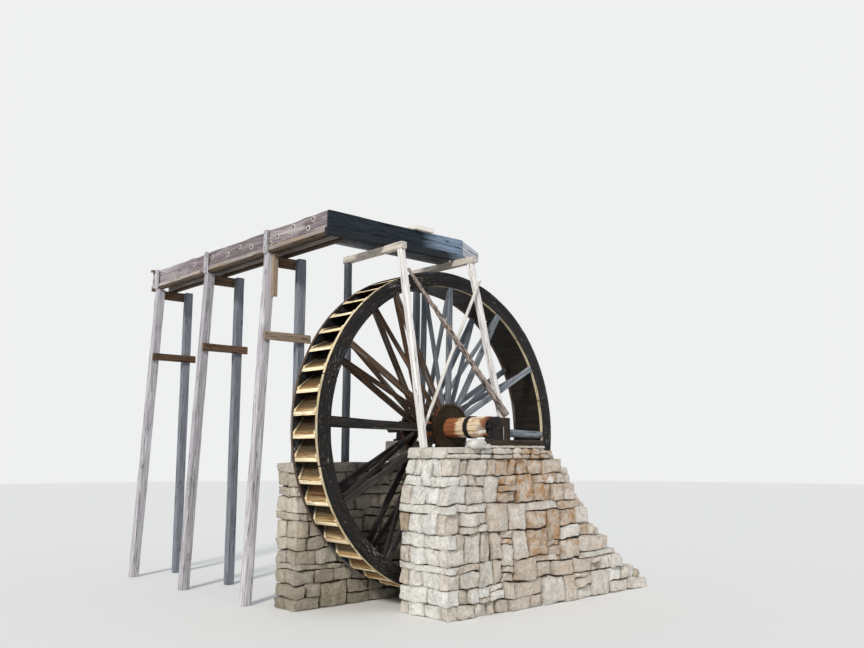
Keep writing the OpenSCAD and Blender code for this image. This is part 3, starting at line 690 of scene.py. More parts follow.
def rock(kind, low, high, place, rng, finish, rough=0.010, warmth=0.0, round_share=0.3, chips=0,
         grime=None, tone=None, dome=0.0):
    """One stone between two corners of the wall's own space; chips break off its face in flat facets"""
    low, high = np.array(low), np.array(high)
    half = (high - low) / 2
    unit = SHAPES[kind]
    full = np.sign(unit) * np.interp(np.abs(unit), [0, 0.6, 1], [0, 0.68, 1]) * half
    radius = min(half) * rng.uniform(0.75, 1.25) * round_share
    core = np.clip(full, -(half - radius), half - radius)
    arm = full - core
    reach = np.linalg.norm(arm, axis=1, keepdims=True)
    local = core + np.where(reach > 1e-9, arm / np.maximum(reach, 1e-9), 0) * radius
    skew = [rng.uniform(-0.1, 0.1) for _ in range(4)]
    u, v = local[:, 0].copy(), local[:, 1].copy()
    local[:, 0] += skew[0] * v + skew[1] * u * v / max(half[1], 0.05) * 0.5
    local[:, 1] += skew[2] * u * 0.5 + skew[3] * u * v / max(half[0], 0.05) * 0.4
    crown = (1 - (u / half[0]) ** 2) * (1 - (v / half[1]) ** 2)
    local[:, 2] += np.where(unit[:, 2] > 0.5, dome * crown, 0)
    centre = (low + high) / 2
    shift = rng.uniform(0, 50)
    for i, p in enumerate(local):
        at = Vector(p + centre)
        lump = 1.3 * noise.noise(at * 7 + Vector((shift, 0, 0)))
        lump += 1.0 * noise.noise(at * 21 + Vector((0, shift, 0)))
        out = p / (np.linalg.norm(p) + 1e-6)
        out[2] *= 1.6
        local[i] = p + out * rough * lump
    for _ in range(chips):
        lean_u, lean_v = rng.uniform(-0.5, 0.5), rng.uniform(-0.5, 0.5)
        at_u, at_v = rng.uniform(-0.7, 0.7) * half[0], rng.uniform(-0.7, 0.7) * half[1]
        cut = half[2] + dome * 0.6 - lean_u * (local[:, 0] - at_u) - lean_v * (local[:, 1] - at_v)
        local[:, 2] = np.minimum(local[:, 2], np.maximum(cut, half[2] - CHIP_DEPTH))
    if grime is None and kind == "rock":
        rim = np.sort(np.abs(unit), axis=1)[:, 1]
        grime = 0.4 * np.clip((rim - 0.6) / 0.4, 0, 1)
    elif grime is None:
        rim = np.clip((np.abs(unit[:, :2]).max(axis=1) - 0.6) / 0.4, 0, 1)
        grime = np.where(unit[:, 2] < RIM, 1.0, 0.45 * rim)
    shade = rng.random() ** 0.6 if tone is None else tone
    return copy_blank(kind, place(local + centre), finish, tone=shade, warmth=warmth, grime=grime)


def course_stones(lengths, heights, mean, rng, shut, split, tall):
    """Lays a face in courses: gives each stone's left, right, bottom, top, and whether it ends its course.
    shut(course) tells how much of each end the face round the corner takes."""
    stones = []
    held = []
    bottom = 0.0
    for row, height in enumerate(heights):
        top = bottom + height
        left, right = shut(row)
        limit = lengths[row] - right
        above = heights[row + 1] if row + 1 < len(heights) else 0
        above_limit = lengths[row + 1] if above else 0
        at = left
        next_held = []
        while at < limit - 0.02:
            taken = [h for h in held if h[0] - 1e-6 <= at < h[1]]
            if taken:
                at = taken[0][1]
                continue
            ahead = min([h[0] for h in held if h[0] > at] + [limit])
            wide = mean(at) * rng.uniform(0.55, 1.5) * (1.7 if height < 0.14 else 1)
            stop = ahead if ahead - at < wide * 1.5 else at + wide
            ends = stop > limit - 0.02 or at < left + 0.02
            inner = at > left + 0.2 and stop < min(limit, above_limit) - 0.25
            if above and inner and stop - at < 0.55 and rng.random() < tall(at):
                stones.append((at, stop, bottom, top + above, False))
                next_held.append((at, stop))
            elif height > 0.2 and inner and rng.random() < split:
                middle = bottom + height * rng.uniform(0.35, 0.65)
                stones.append((at, stop, bottom, middle, False))
                stones.append((at, stop, middle, top, False))
            else:
                stones.append((at, stop, bottom, top, ends))
            at = stop
        held = next_held
        bottom = top
    return stones


def waver(world, top, amount):
    """Wavers the joints of a whole wall, less near its foot and top"""
    moved = world.copy()
    for i, p in enumerate(world):
        ease = min(1.0, max(0.0, p[2] / 0.2), max(0.0, (top - p[2]) / 0.25))
        at = Vector(p)
        wave = noise.noise_vector(at * 2.3) + 0.8 * noise.noise_vector(at * 5.1)
        wave += 0.35 * noise.noise_vector(at * 11)
        moved[i] += amount * ease * np.array([wave.x, 0.25 * wave.y, wave.z * 1.15])
    return moved


def pushed_forward(world, back):
    """How far the batter pushes each point out, from none at the back to all at the front"""
    down = np.clip((PIER_TOP - world[:, 2]) / PIER_TOP, 0, 1)
    return BATTER * down * np.clip((back - world[:, 1]) / (back - PIER_FRONT), 0, 1.1)


def pier_shape(world):
    """Leans the pier's front and left face out towards its foot"""
    out = world.copy()
    spread = np.clip((PIER_TOP - out[:, 2]) / PIER_KNEE, 0, 1) * PIER_LEAN
    out[:, 0] -= spread * np.clip((PIER_RIGHT - world[:, 0]) / (PIER_RIGHT - PIER_LEFT), 0, 1.1)
    out[:, 1] -= pushed_forward(world, PIER_BACK)
    out[:, 2] = np.clip(out[:, 2], 0.0, PIER_TOP + 0.004)
    return out


def wing_shape(world):
    """Leans the broken wall's front in line with the pier's"""
    out = world.copy()
    out[:, 1] -= pushed_forward(world, WING_BACK)
    out[:, 2] = np.maximum(out[:, 2], 0.0)
    return out


def level_top(top):
    """A shape that keeps stones under a level"""
    return lambda local: np.minimum(local, [9, 9, top])


def face_of_stones(corner, along, out, lengths, heights, rng, shut, shape, mean=lambda at: 0.34,
                   finish="limestone", depth=lambda at: FACING, top=PIER_TOP, proud=0.02,
                   warm=lambda at, up: 0.2, split=0.2, tall=lambda at: 0.1, waves=0.026, chips=4,
                   round_share=(0.12, 0.34), bright=0.35):
    """Stones of one wall face, each with the place of its middle along the face"""
    axes = np.array([along, UP, out], float)
    inside_out = Vector(along).cross(Vector(UP)).dot(Vector(out)) < 0
    made = []
    for left, right, low, high, ends in course_stones(lengths, heights, mean, rng, shut, split, tall):
        middle = (left + right) / 2
        stand = rng.uniform(-proud, proud)
        share = warm(middle, (low + high) / 2) * rng.uniform(0.5, 1.5) + rng.uniform(-0.15, 0.15)
        tone = bright + (1 - bright) * rng.random() ** 0.5
        stone = rock(
            "rock" if ends else "facing",
            (left + SIDE_JOINT, low + JOINT / 2, -depth(middle) + 0.004),
            (right - SIDE_JOINT, high - JOINT / 2, stand),
            lambda local: shape(waver(local @ axes + np.array(corner), top, waves)), rng, finish,
            rough=rng.uniform(0.010, 0.020), warmth=min(1.0, max(0.0, share)), tone=tone,
            round_share=rng.uniform(*round_share), chips=chips, dome=rng.uniform(0.0, 0.03)
        )
        if inside_out:
            stone.data.flip_normals()
        made.append((middle, stone))
    return made


def stones_only(*face, **how):
    return [stone for middle, stone in face_of_stones(*face, **how)]


def fill(low, high, shape):
    """The mortar behind the facing stones"""
    low, high = np.array(low, float), np.array(high, float)
    world = shape(SHAPES["rock"] * (high - low) / 2 + (low + high) / 2)
    return copy_blank("rock", world, "mortar", tone=0.5, warmth=0.0, grime=1.0)


def turns(row, first):
    """Corner stones turn the corner in every second course"""
    return (0.0, 0.0) if row % 2 == first else (FACING, FACING)


# Ochre patches on the front: place along and up, width and strength; the first lies under the bearing
OCHRE = ((1.75, 2.25, 0.42, 1.2), (1.45, 1.75, 0.3, 0.95), (2.5, 1.0, 0.5, 0.6), (1.55, 0.85, 0.4, 0.6))


def stained(at, up):
    """How ochre the front is at a place"""
    near = (share * math.exp(-((at - x) ** 2 + (up - z) ** 2) / (2 * wide ** 2))
            for x, z, wide, share in OCHRE)
    return 0.2 + sum(near)


def next_stop(at, wide, least):
    """Where a top stone ends; the last one takes up a narrow rest"""
    stop = at + wide
    return PIER_RIGHT if PIER_RIGHT - stop < least else stop


def cap_stones(rng, cap):
    """The top is laid with flat stones; those along the front edge are thin and ragged"""
    top = PIER_TOP
    parts = []
    at = PIER_LEFT
    while at < PIER_RIGHT - 0.05:
        stop = next_stop(at, 0.62 if at < PIER_LEFT + 0.1 else rng.uniform(0.16, 0.5), 0.14)
        drop = rng.uniform(0.0, 0.02) if at < PIER_RIGHT - 0.35 else rng.uniform(0.03, 0.05)
        middle = top - cap * rng.uniform(0.5, 0.62)
        for low, high in ((top - cap + JOINT, middle - 0.004), (middle + 0.004, top - drop)):
            out = rng.uniform(-0.02, 0.035)
            left, right = rng.uniform(0, 0.03), rng.uniform(0, 0.03)
            parts.append(rock(
                "rock", (at + left + 0.003, PIER_FRONT - out, low),
                (stop - right - 0.003, PIER_FRONT + 0.15, high), pier_shape, rng, "limestone", rough=0.014,
                warmth=min(1.0, stained(at - PIER_LEFT, 2.3) * rng.uniform(0.5, 1.1)),
                tone=0.6 + 0.4 * rng.random(), round_share=rng.uniform(0.4, 0.8), grime=0.1
            ))
        at = stop
    edge = PIER_FRONT + 0.13
    for share in (0.36, 0.3, 0.34):
        back = edge + share * (PIER_BACK - PIER_FRONT - 0.13)
        at = PIER_LEFT
        while at < PIER_RIGHT - 0.05:
            stop = next_stop(at, rng.uniform(0.25, 0.62), 0.2)
            parts.append(rock(
                "rock", (at + JOINT / 2 + rng.uniform(0, 0.02), edge + JOINT / 2, top - cap + JOINT),
                (stop - JOINT / 2, back - JOINT / 2, top + 0.004), pier_shape, rng, "limestone",
                warmth=0.15 * rng.random(), tone=0.5 + 0.5 * rng.random(), round_share=0.25, grime=0.15
            ))
            at = stop
        edge = back
    return parts


def build_pier(rng, front, low, cap, wide, deep):
    """The pier's front stones are laid already; this adds its other faces, its top and its mortar"""
    pier = list(front)
    for corner, along, out, length, first, mean, warm, proud, bright in (
        # The left face's stones are paler (least tone 0.9): painted sunlight on the side that faces the sun
        ((PIER_LEFT, PIER_BACK, 0), FRONT, LEFT, deep, 1, 0.4, 0.0, 0.016, 0.9),
        ((PIER_RIGHT, PIER_BACK, 0), LEFT, BACK, wide, 0, 0.34, 0.2, 0.018, 0.0),
        ((PIER_RIGHT, PIER_FRONT, 0), BACK, RIGHT, deep, 1, 0.34, 0.2, 0.008, 0.0),
    ):
        pier += stones_only(
            corner, along, out, [length] * len(low), low, rng, lambda row: turns(row, first), pier_shape,
            mean=lambda at: mean, warm=lambda at, up: warm, proud=proud, bright=bright,
            waves=0.02, chips=3, round_share=(0.08, 0.2))
    pier += cap_stones(rng, cap)
    inset = MORTAR_BACK
    pier.append(fill((PIER_LEFT + inset, PIER_FRONT + inset, 0),
                     (PIER_RIGHT - inset, PIER_BACK - inset, PIER_TOP - inset), pier_shape))
    assemble("pier_stones", pier, "plant", ["pier"], crease=STONE_CREASE)


def build_wing(rng, front, low, reach):
    """The broken wall behind its front stones: its back, its mortar and the loose stones on its ledges"""
    wing = front + stones_only(
        (PIER_RIGHT, WING_BACK, 0), RIGHT, BACK, reach, low, rng, lambda row: (0.0, 0.0), wing_shape,
        mean=lambda at: 0.36, depth=lambda at: WING_HALF, tall=lambda at: 0.3)
    bottom = 0.0
    for row, height in enumerate(low):
        top = bottom + height
        wing.append(fill((PIER_RIGHT - 0.1, PIER_FRONT + MORTAR_BACK, bottom),
                         (PIER_RIGHT + reach[row] - 0.1, WING_BACK - MORTAR_BACK, top - 0.04), wing_shape))
        ledge = reach[row] - (reach[row + 1] if row + 1 < len(low) else 0)
        if ledge > 0.11:
            size = min(ledge, 0.26) * rng.uniform(0.7, 0.9)
            left = PIER_RIGHT + reach[row] - ledge + 0.012
            y = PIER_FRONT + rng.uniform(0.0, 0.16)
            wing.append(rock("rock", (left, y, top - 0.02),
                             (left + size, y + rng.uniform(0.2, 0.3), top + size * 0.6), wing_shape, rng,
                             "limestone", rough=0.012, warmth=rng.random() * 0.5, round_share=0.75,
                             grime=0.2))
        bottom = top
    assemble("wing_wall_stones", wing, "plant", ["wing_wall"], crease=STONE_CREASE)


def build_pier_and_wing():
    """The pier's front runs on into the broken wall, so both are laid together"""
    rng = random.Random("pier")
    heights = [h * PIER_TOP / sum(COURSES) for h in COURSES]
    low, cap = heights[:-1], heights[-1]
    wide, deep = PIER_RIGHT - PIER_LEFT, PIER_BACK - PIER_FRONT
    reach = [share * WING_LENGTH for share in REACH]
    front = face_of_stones(
        (PIER_LEFT, PIER_FRONT, 0), RIGHT, FRONT, [wide + r for r in reach], low, rng,
        lambda row: (0.0 if row % 2 == 0 else FACING, 0.0), pier_shape,
        mean=lambda at: 0.25 + 0.05 * min(at, 3), depth=lambda at: FACING if at < wide else WING_HALF,
        split=0.35, proud=0.03, warm=stained, tall=lambda at: 0.3 if at < 1.2 else 0.5)
    build_pier(rng, [stone for middle, stone in front if middle < wide], low, cap, wide, deep)
    build_wing(rng, [stone for middle, stone in front if middle >= wide], low, reach)


def build_pit_wall():
    """The stone wall behind the wheel, with the block that the back bearing stands on"""
    rng = random.Random("pit")
    low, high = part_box("pit_wall")
    heights = [h * high.z / sum(COURSES) for h in COURSES]
    length, deep = high.x - low.x, high.y - low.y

    def upright(world):
        out = world.copy()
        out[:, 2] = np.clip(out[:, 2], 0.0, high.z + 0.003)
        return out

    # In every second course a stone right through the wall closes each end
    through = [deep if row % 2 else 0.0 for row in range(len(heights))]
    full = [length] * len(heights)
    parts = []
    for corner, along, out, lengths, shut, back in (
        ((low.x, low.y, 0), RIGHT, FRONT, full, lambda row: turns(row, 0), deep / 2),
        ((high.x, high.y, 0), LEFT, BACK, full, lambda row: turns(row, 0), deep / 2),
        ((low.x, high.y, 0), FRONT, LEFT, through, lambda row: (0.0, 0.0), FACING),
        ((high.x, low.y, 0), BACK, RIGHT, through, lambda row: (0.0, 0.0), FACING),
    ):
        parts += stones_only(
            corner, along, out, lengths, heights, rng, shut, upright, mean=lambda at: 0.38,
            finish="pit_stone", depth=lambda at: back, top=high.z, proud=0.014, split=0.12,
            tall=lambda at: 0.12, chips=3)
    inset = MORTAR_BACK
    parts.append(fill((low.x + inset, low.y + inset, 0), (high.x - inset, high.y - inset, high.z - inset),
                      upright))
    low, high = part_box("back_block")
    split = low.z + 0.45 * (high.z - low.z)
    for bottom, top, share in ((low.z, split, 0.6), (split, high.z, 0.45)):
        middle = low.x + share * (high.x - low.x)
        for left, right in ((low.x, middle), (middle, high.x)):
            parts.append(rock("rock", (left + 0.003, low.y, bottom + 0.002), (right - 0.003, high.y, top),
                              level_top(high.z), rng, "pit_stone", rough=0.006, warmth=0.2,
                              round_share=0.14, grime=0.2))
    assemble("pit_wall_stones", parts, "plant", ["pit_wall", "back_block"],
             crease=STONE_CREASE)


# Widths of the flat stones, then the loose stones beside them: left, front, width, depth and height
FLAT_STONES = (0.44, 0.36, 0.42, 0.35)
LOOSE_STONES = ((-0.62, -0.58, 0.27, 0.22, 0.12), (-0.40, -0.585, 0.16, 0.08, 0.05))


def build_flat_stones():
    """The flat stones that the bearing beam lies on"""
    rng = random.Random("pad")
    low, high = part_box("bearing_pad")
    parts = []
    at = low.x
    for wide in FLAT_STONES:
        stop = min(high.x, at + wide)
        parts.append(rock("rock", (at + 0.004, low.y - 0.01, low.z - 0.006),
                          (stop - 0.004, high.y - rng.uniform(0, 0.1), high.z), level_top(high.z), rng,
                          "limestone", rough=0.006, warmth=0.2, round_share=0.5, grime=0.2))
        at = stop
    for left, front, wide, deep, tall in LOOSE_STONES:
        parts.append(rock("rock", (left, front, PIER_TOP - 0.015),
                          (left + wide, front + deep, PIER_TOP + tall), lambda local: local, rng,
                          "limestone", rough=0.012, round_share=0.9, grime=0.1, tone=0.85))
    assemble("flat_stones", parts, "plant", ["bearing_pad"], crease=STONE_CREASE)


# Trestle

POST_HALF = 0.053
POLE_BITE = 0.008
WHITE_R = 0.028
BARK_FOOT_R, BARK_TOP_R = 0.058, 0.028
# How far a pole runs on past its nails
WHITE_PAST, BARK_PAST = (0.06, 0.09), 0.05
# Stumps of branches: place along the post or pole, direction, length and radius
LEFT_STUBS = ((0.81, (1, -0.2, 0), 0.05, 0.02), (0.52, (1, -0.5, 0), 0.012, 0.017),
              (0.33, (1, -1, 0), 0.02, 0.022), (0.15, (-1, -0.6, 0), 0.02, 0.018),
              (0.68, (-1, -0.4, 0), 0.015, 0.014))
RIGHT_STUBS = ((0.62, (1, -0.3, 0), 0.035, 0.018), (0.42, (1, -0.4, 0), 0.015, 0.02),
               (0.24, (-1, -0.5, 0), 0.02, 0.018))
WHITE_STUBS = ((0.62, (1, -0.4, 0.2), 0.02, 0.011), (0.3, (-1, -0.4, 0.3), 0.015, 0.012))
BARK_STUBS = tuple((share, way, 0.062, 0.013) for share, way in (
    (0.33, (1, -0.5, 0.6)), (0.52, (-1, -0.7, 0.1)), (0.6, (0.3, -1, 0.8)), (0.74, (1, -0.6, 0.4)),
    (0.86, (-0.6, -1, 0.2))))


def post_ends(node):
    """Middle of a leaning post's foot and of its top"""
    low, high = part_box(node)
    return (Vector((high.x - POST_HALF, low.y + POST_HALF, low.z)),
            Vector((low.x + POST_HALF, high.y - POST_HALF, high.z)))


def stub(root, out, length, radius, rng, finish):
    """The stump of a cut branch"""
    out = Vector(out).normalized()
    return pole(Vector(root) - out * radius, Vector(root) + out * length, radius, radius * 0.62, rng, finish,
                rough=0.003, bend=0.0)


def level_ends(place, bottom, top):
    """Keeps a leaning post between its foot's and its top's level"""
    def cut(local):
        world = place(local)
        world[:, 2] = np.clip(world[:, 2], bottom, top)
        return world
    return cut


def trestle_post(name, node, stubs):
    rng = random.Random(name)
    foot, top = post_ends(node)
    run = top - foot
    side = 2 * POST_HALF - 0.002
    place = level_ends(laid((foot + top) / 2, run, RIGHT), foot.z, top.z)
    parts = [board("long", (run.length + 0.03, side, side), place, rng, "silver_timber",
                   edge=0.017, rough=0.007, bow=0.012, tone=0.8)]
    for share, way, length, radius in stubs:
        out = Vector(way).normalized()
        root = foot + run * share + out * POST_HALF * 0.8
        parts.append(stub(root, out + Vector((0, 0, 0.5)), length, radius, rng, "silver_timber"))
    assemble(name, parts, "plant", [node])


def build_trestle():
    trestle_post("left_trestle_post", "left_post", LEFT_STUBS)
    trestle_post("right_trestle_post", "right_post", RIGHT_STUBS)
    low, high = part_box("inner_posts")
    side = high.y - low.y
    plain_piece("back_trestle_posts", "inner posts", "inner_posts", "grey_timber",
                [slab(low, high, 0, x, x + side) for x in (low.x, high.x - side)], "z", "grey_timber",
                kind="long", edge=0.012, rough=0.005, bow=0.008)
    rng = random.Random("caps")
    low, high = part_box("trestle_caps")
    side = high.z - low.z
    parts = []
    for x in (low.x, high.x - side):
        parts.append(box_board(*slab(low, high, 0, x, x + side), "y", rng, "cap_timber",
                               edge=0.008, rough=0.004))
        parts.append(nut((x + side / 2, low.y + 0.11, high.z - 0.001), UP, 0.012))
    assemble("trestle_cap_timbers", parts, "plant", ["trestle_caps"])


def brace_pole(name, node, finish, seed, low, high, start, end, start_r, end_r, stubs, **how):
    """A pole from start to end, its stumps placed along the line between its two nails"""
    rng = random.Random(seed)
    parts = [pole(start, end, start_r, end_r, rng, finish, **how)]
    for share, way, length, radius in stubs:
        parts.append(stub(low.lerp(high, share), way, length, radius, rng, finish))
    assemble(name, parts, "plant", [node], crease=ROUND_CREASE)


def build_poles():
    foot_l, top_l = post_ends("left_post")
    foot_r, top_r = post_ends("right_post")
    out = Vector((0, POST_HALF + WHITE_R - POLE_BITE, 0))
    low = foot_l.lerp(top_l, 0.05) + out
    high = foot_r.lerp(top_r, 0.86) - out
    run = (high - low).normalized()
    brace_pole("white_brace_pole", "white_brace", "white_pole", "white", low, high,
               low - run * WHITE_PAST[0], high + run * WHITE_PAST[1], WHITE_R, WHITE_R * 0.92, WHITE_STUBS,
               rough=0.003, bend=0.012)
    low = foot_r.lerp(top_r, 0.035) - Vector((0, POST_HALF + BARK_FOOT_R - POLE_BITE, 0))
    high = foot_l.lerp(top_l, 0.9) + Vector((POST_HALF, -POST_HALF, 0))
    run = (high - low).normalized()
    brace_pole("bark_brace_pole", "bark_brace", "bark", "bark", low, high, low - run * BARK_PAST, high,
               BARK_FOOT_R, BARK_TOP_R, BARK_STUBS, rough=0.011, bend=0.02, kind="bark_pole", lumps=16)


# Flume

sill_a_low, sill_a_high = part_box("run_a_sills")
sill_b_low, sill_b_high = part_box("run_b_sills")
side_a_low, side_a_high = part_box("run_a_sides")
side_b_low, side_b_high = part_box("run_b_sides")
strap_low, strap_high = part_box("run_a_straps")
SILL_W = 0.09
SIDE_T = 0.045
STRAP_W = 0.09
OPEN_JOINT = 0.0015
BENTS = [strap_low.y + STRAP_W / 2 + i * (strap_high.y - strap_low.y - STRAP_W) / 2 for i in range(3)]
# Knots on the side flume's outer face: distance from the corner, height share, radius
KNOTS = [
    (0.36, 0.76, 0.034), (0.50, 0.30, 0.036), (0.92, 0.70, 0.034), (1.00, 0.24, 0.028),
    (1.40, 0.46, 0.036), (1.50, 0.72, 0.024), (1.60, 0.16, 0.030), (1.66, 0.42, 0.026),
    (2.22, 0.34, 0.034), (2.62, 0.62, 0.030), (3.05, 0.40, 0.036), (3.62, 0.58, 0.032),
    (3.95, 0.24, 0.028), (4.35, 0.52, 0.034), (5.10, 0.32, 0.028), (5.60, 0.60, 0.030),
]
STRAP_NAILS = (0.05, 0.1, 0.24, 0.34)


def run_of_boards(low, high, along, joints, rng, finish, **how):
    """A row of boards end to end, with an open joint between them"""
    axis = "xyz".index(along)
    marks = [low[axis]] + list(joints) + [high[axis]]
    return [box_board(*slab(low, high, axis, start + OPEN_JOINT, stop - OPEN_JOINT), along, rng, finish,
                      **how) for start, stop in zip(marks, marks[1:])]


def knot(centre, out, radius):
    unit = SHAPES["knot"]
    rings = np.clip(np.linalg.norm(unit[:, :2], axis=1) * 1.9 - 0.5, 0, 1)
    shape = unit * radius * np.array([1.15, 0.9, 0.28])
    return copy_blank("knot", facing_out(shape, centre, out), "knot", heart=rings)


def build_side_flume():
    rng = random.Random("side flume")
    low, high = side_a_low, side_a_high
    how = dict(kind="long", edge_up=True, edge=0.006, rough=0.005, ragged=0.02, bow=0.006)
    parts = run_of_boards(low, (low.x + SIDE_T, high.y, high.z), "y", BENTS, rng, "side_flume", **how)
    parts += run_of_boards((high.x - SIDE_T, side_b_high.y, low.z), high, "y", BENTS, rng, "side_flume",
                           **how)
    for place, share, radius in KNOTS:
        z = low.z + share * (high.z - low.z)
        parts.append(knot((low.x - 0.005, low.y + place, z), LEFT, radius * 1.5))
    assemble("side_flume_boards", parts, "plant", ["run_a_sides"])

    rng = random.Random("side sills")
    low, high = sill_a_low, sill_a_high
    middle = low.z + 0.4 * (high.z - low.z)
    parts = []
    for x in (low.x, high.x - SILL_W):
        # The lower layer is brown wood darkened as painted shade
        parts += run_of_boards((x + 0.008, low.y, low.z), (x + SILL_W, high.y, middle - 0.001), "y",
                               [BENTS[1]], rng, "sill_brown", kind="long", edge=0.004, rough=0.003)
        parts += run_of_boards((x, low.y, middle + 0.001), (x + SILL_W, high.y, high.z - 0.006), "y",
                               [BENTS[1] + 0.3], rng, "sill_timber", kind="long", edge=0.006, rough=0.004)
    assemble("side_flume_sills", parts, "plant", ["run_a_sills"])

    rng = random.Random("side floor")
    low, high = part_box("run_a_floor")
    middle = (low.x + high.x) / 2
    joints = [BENTS[0] + 0.4, BENTS[2] - 0.5]
    parts = run_of_boards(low, (middle - 0.001, high.y, high.z), "y", joints, rng, "flume_floor", edge=0.003)
    parts += run_of_boards((middle + 0.001, low.y, low.z), high, "y", [BENTS[1]], rng, "flume_floor",
                           edge=0.003)
    assemble("side_flume_floor", parts, "plant", ["run_a_floor"])

    rng = random.Random("straps")
    low, high = strap_low, strap_high
    parts = []
    for y in BENTS:
        parts.append(box_board(*slab(low, high, 1, y - STRAP_W / 2, y + STRAP_W / 2), "z", rng,
                               "post_timber", edge=0.006, rough=0.004))
        for z in STRAP_NAILS:
            parts.append(nut((low.x + 0.001, y + rng.uniform(-0.02, 0.02), low.z + z), LEFT, 0.006))
    assemble("side_flume_straps", parts, "plant", ["run_a_straps"])
    plain_piece("end_tie_board", "tie", "run_a_end_tie", "side_flume", [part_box("run_a_end_tie")], "x",
                "pale_plank")


def build_head_flume():
    rng = random.Random("head flume")
    low, high = side_b_low, side_b_high
    how = dict(kind="long", edge_up=True, edge=0.006, rough=0.005, ragged=0.012, bow=0.005)
    parts = run_of_boards(low, (high.x, low.y + SIDE_T, high.z), "x", [], rng, "flume_side", **how)
    parts += run_of_boards((side_a_high.x, high.y - SIDE_T, low.z), high, "x", [-0.6], rng, "flume_side",
                           **how)
    assemble("head_flume_boards", parts, "plant", ["run_b_sides"])

    rng = random.Random("head sills")
    low, high = sill_b_low, sill_b_high
    how = dict(kind="long", edge=0.007, rough=0.004)
    parts = [box_board(low, (high.x, low.y + SILL_W, high.z), "x", rng, "dark_sill", **how)]
    parts.append(box_board((sill_a_high.x, high.y - SILL_W, low.z), high, "x", rng, "grey_timber", **how))
    assemble("head_flume_sills", parts, "plant", ["run_b_sills"])

    low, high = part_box("run_b_floor")
    middle = (low.y + high.y) / 2
    halves = [slab(low, high, 1, low.y, middle - 0.001), slab(low, high, 1, middle + 0.001, high.y)]
    plain_piece("head_flume_floor", "head floor", "run_b_floor", "flume_floor", halves, "x", "flume_floor",
                kind="long", edge=0.003)
    plain_piece("cover_plank", "cover", "cover_board", "silver_timber", [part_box("cover_board")], "x",
                "white_pole", edge=0.008, rough=0.006)


SPOUT_TIP_TOP = 0.105
SPOUT_DROP = 0.06
SPOUT_T = 0.025


def build_spout():
    """Two cheeks that drop to the lip, and a sloping floor between them"""
    rng = random.Random("spout")
    low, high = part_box("spout")
    length = high.x - low.x
    floor, top = side_b_low.z, high.z

    def cheek(y):
        def shape(local):
            share = local[:, 0] / length + 0.5
            upper = top + (floor + SPOUT_TIP_TOP - top) * share
            lower = floor - SPOUT_DROP * share
            rise = local[:, 1] / (top - floor) + 0.5
            return np.column_stack([low.x + share * length, y - local[:, 2], lower + rise * (upper - lower)])
        return board("plank", (length, top - floor, SPOUT_T), shape, rng, "spout_board", edge=0.004)

    parts = [cheek(low.y + SPOUT_T / 2), cheek(high.y - SPOUT_T / 2)]
    run = Vector((length, 0, -SPOUT_DROP))
    centre = ((low.x + high.x) / 2, (low.y + high.y) / 2, floor - SPOUT_DROP / 2 + SPOUT_T / 2 + 0.002)
    parts.append(board("plank", (run.length, high.y - low.y - 2 * SPOUT_T, SPOUT_T), laid(centre, run, BACK),
                       rng, "spout_board", edge=0.004))
    assemble("spout_boards", parts, "plant", ["spout"])


# Bents

BENT_POST_W, BENT_POST_D = 0.16, 0.13
BENT_PLANK_T = 0.048


def across_bents(low, high, first, thick):
    """The boxes of one plank at each bent; first is the plank's front at the first bent"""
    return [slab(low, high, 1, first + y - BENTS[0], first + y - BENTS[0] + thick) for y in BENTS]


def build_bents():
    rng = random.Random("outer posts")
    low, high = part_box("outer_posts")
    parts = []
    for y in BENTS:
        foot = Vector((low.x + BENT_POST_W / 2, y, low.z))
        top = Vector((high.x - BENT_POST_W / 2, y, high.z))
        run = top - foot
        place = level_ends(laid((foot + top) / 2, run, RIGHT), low.z, high.z)
        parts.append(board("long", (run.length + 0.02, BENT_POST_W, BENT_POST_D), place, rng, "post_timber",
                           edge=0.012, rough=0.006, bow=0.01))
    assemble("bent_outer_posts", parts, "plant", ["outer_posts"])
    low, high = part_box("bent_inner_posts")
    plain_piece("bent_inner_timbers", "bent inner", "bent_inner_posts", "grey_timber",
                across_bents(low, high, BENTS[0] - BENT_POST_D / 2, BENT_POST_D), "z", "grey_timber",
                kind="long", edge=0.012, rough=0.005, bow=0.01)
    low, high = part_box("bent_caps")
    plain_piece("bent_cap_planks", "bent planks", "bent_caps", "brown_plank",
                across_bents(low, high, low.y, BENT_PLANK_T), "x", "brown_plank", edge_up=True, rough=0.004)
    rng = random.Random("girts")
    low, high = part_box("bent_girts")
    parts = []
    finishes = ("pale_plank", "brown_plank", "brown_plank")
    for box, finish in zip(across_bents(low, high, low.y, BENT_PLANK_T), finishes):
        parts.append(box_board(*box, "x", rng, finish, edge_up=True, rough=0.004))
        for x in (low.x + 0.09, low.x + 0.13, high.x - 0.17, high.x - 0.13):
            parts.append(nut((x, box[0][1] + 0.001, low.z + rng.uniform(0.04, 0.1)), FRONT, 0.007))
    assemble("bent_girt_planks", parts, "plant", ["bent_girts"])
    plain_piece("hanging_plank", "hanging", "hanging_board", "brown_plank", [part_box("hanging_board")], "z",
                "pale_plank", ragged=0.01)


# Wheel

WHEEL_FRONT, WHEEL_BACK = front_low.y, back_high.y
WHEEL_MID = (WHEEL_FRONT + WHEEL_BACK) / 2
SHROUD_T = front_high.y - front_low.y
SHROUD_D = 0.24
FRONT_MID = WHEEL_FRONT + SHROUD_T / 2
BACK_MID = WHEEL_BACK - SHROUD_T / 2
RING_IN = WHEEL_R - SHROUD_D
SOLE_T = 0.03
SOLE_R = RING_IN + SOLE_T
INSIDE_W = back_low.y - front_high.y
ARMS = 12
ARM_ANGLES = [math.radians(28.3) + k * math.tau / ARMS for k in range(ARMS)]
ARM_W, ARM_T = 0.096, 0.06
BRACE_W, BRACE_T = 0.07, 0.05
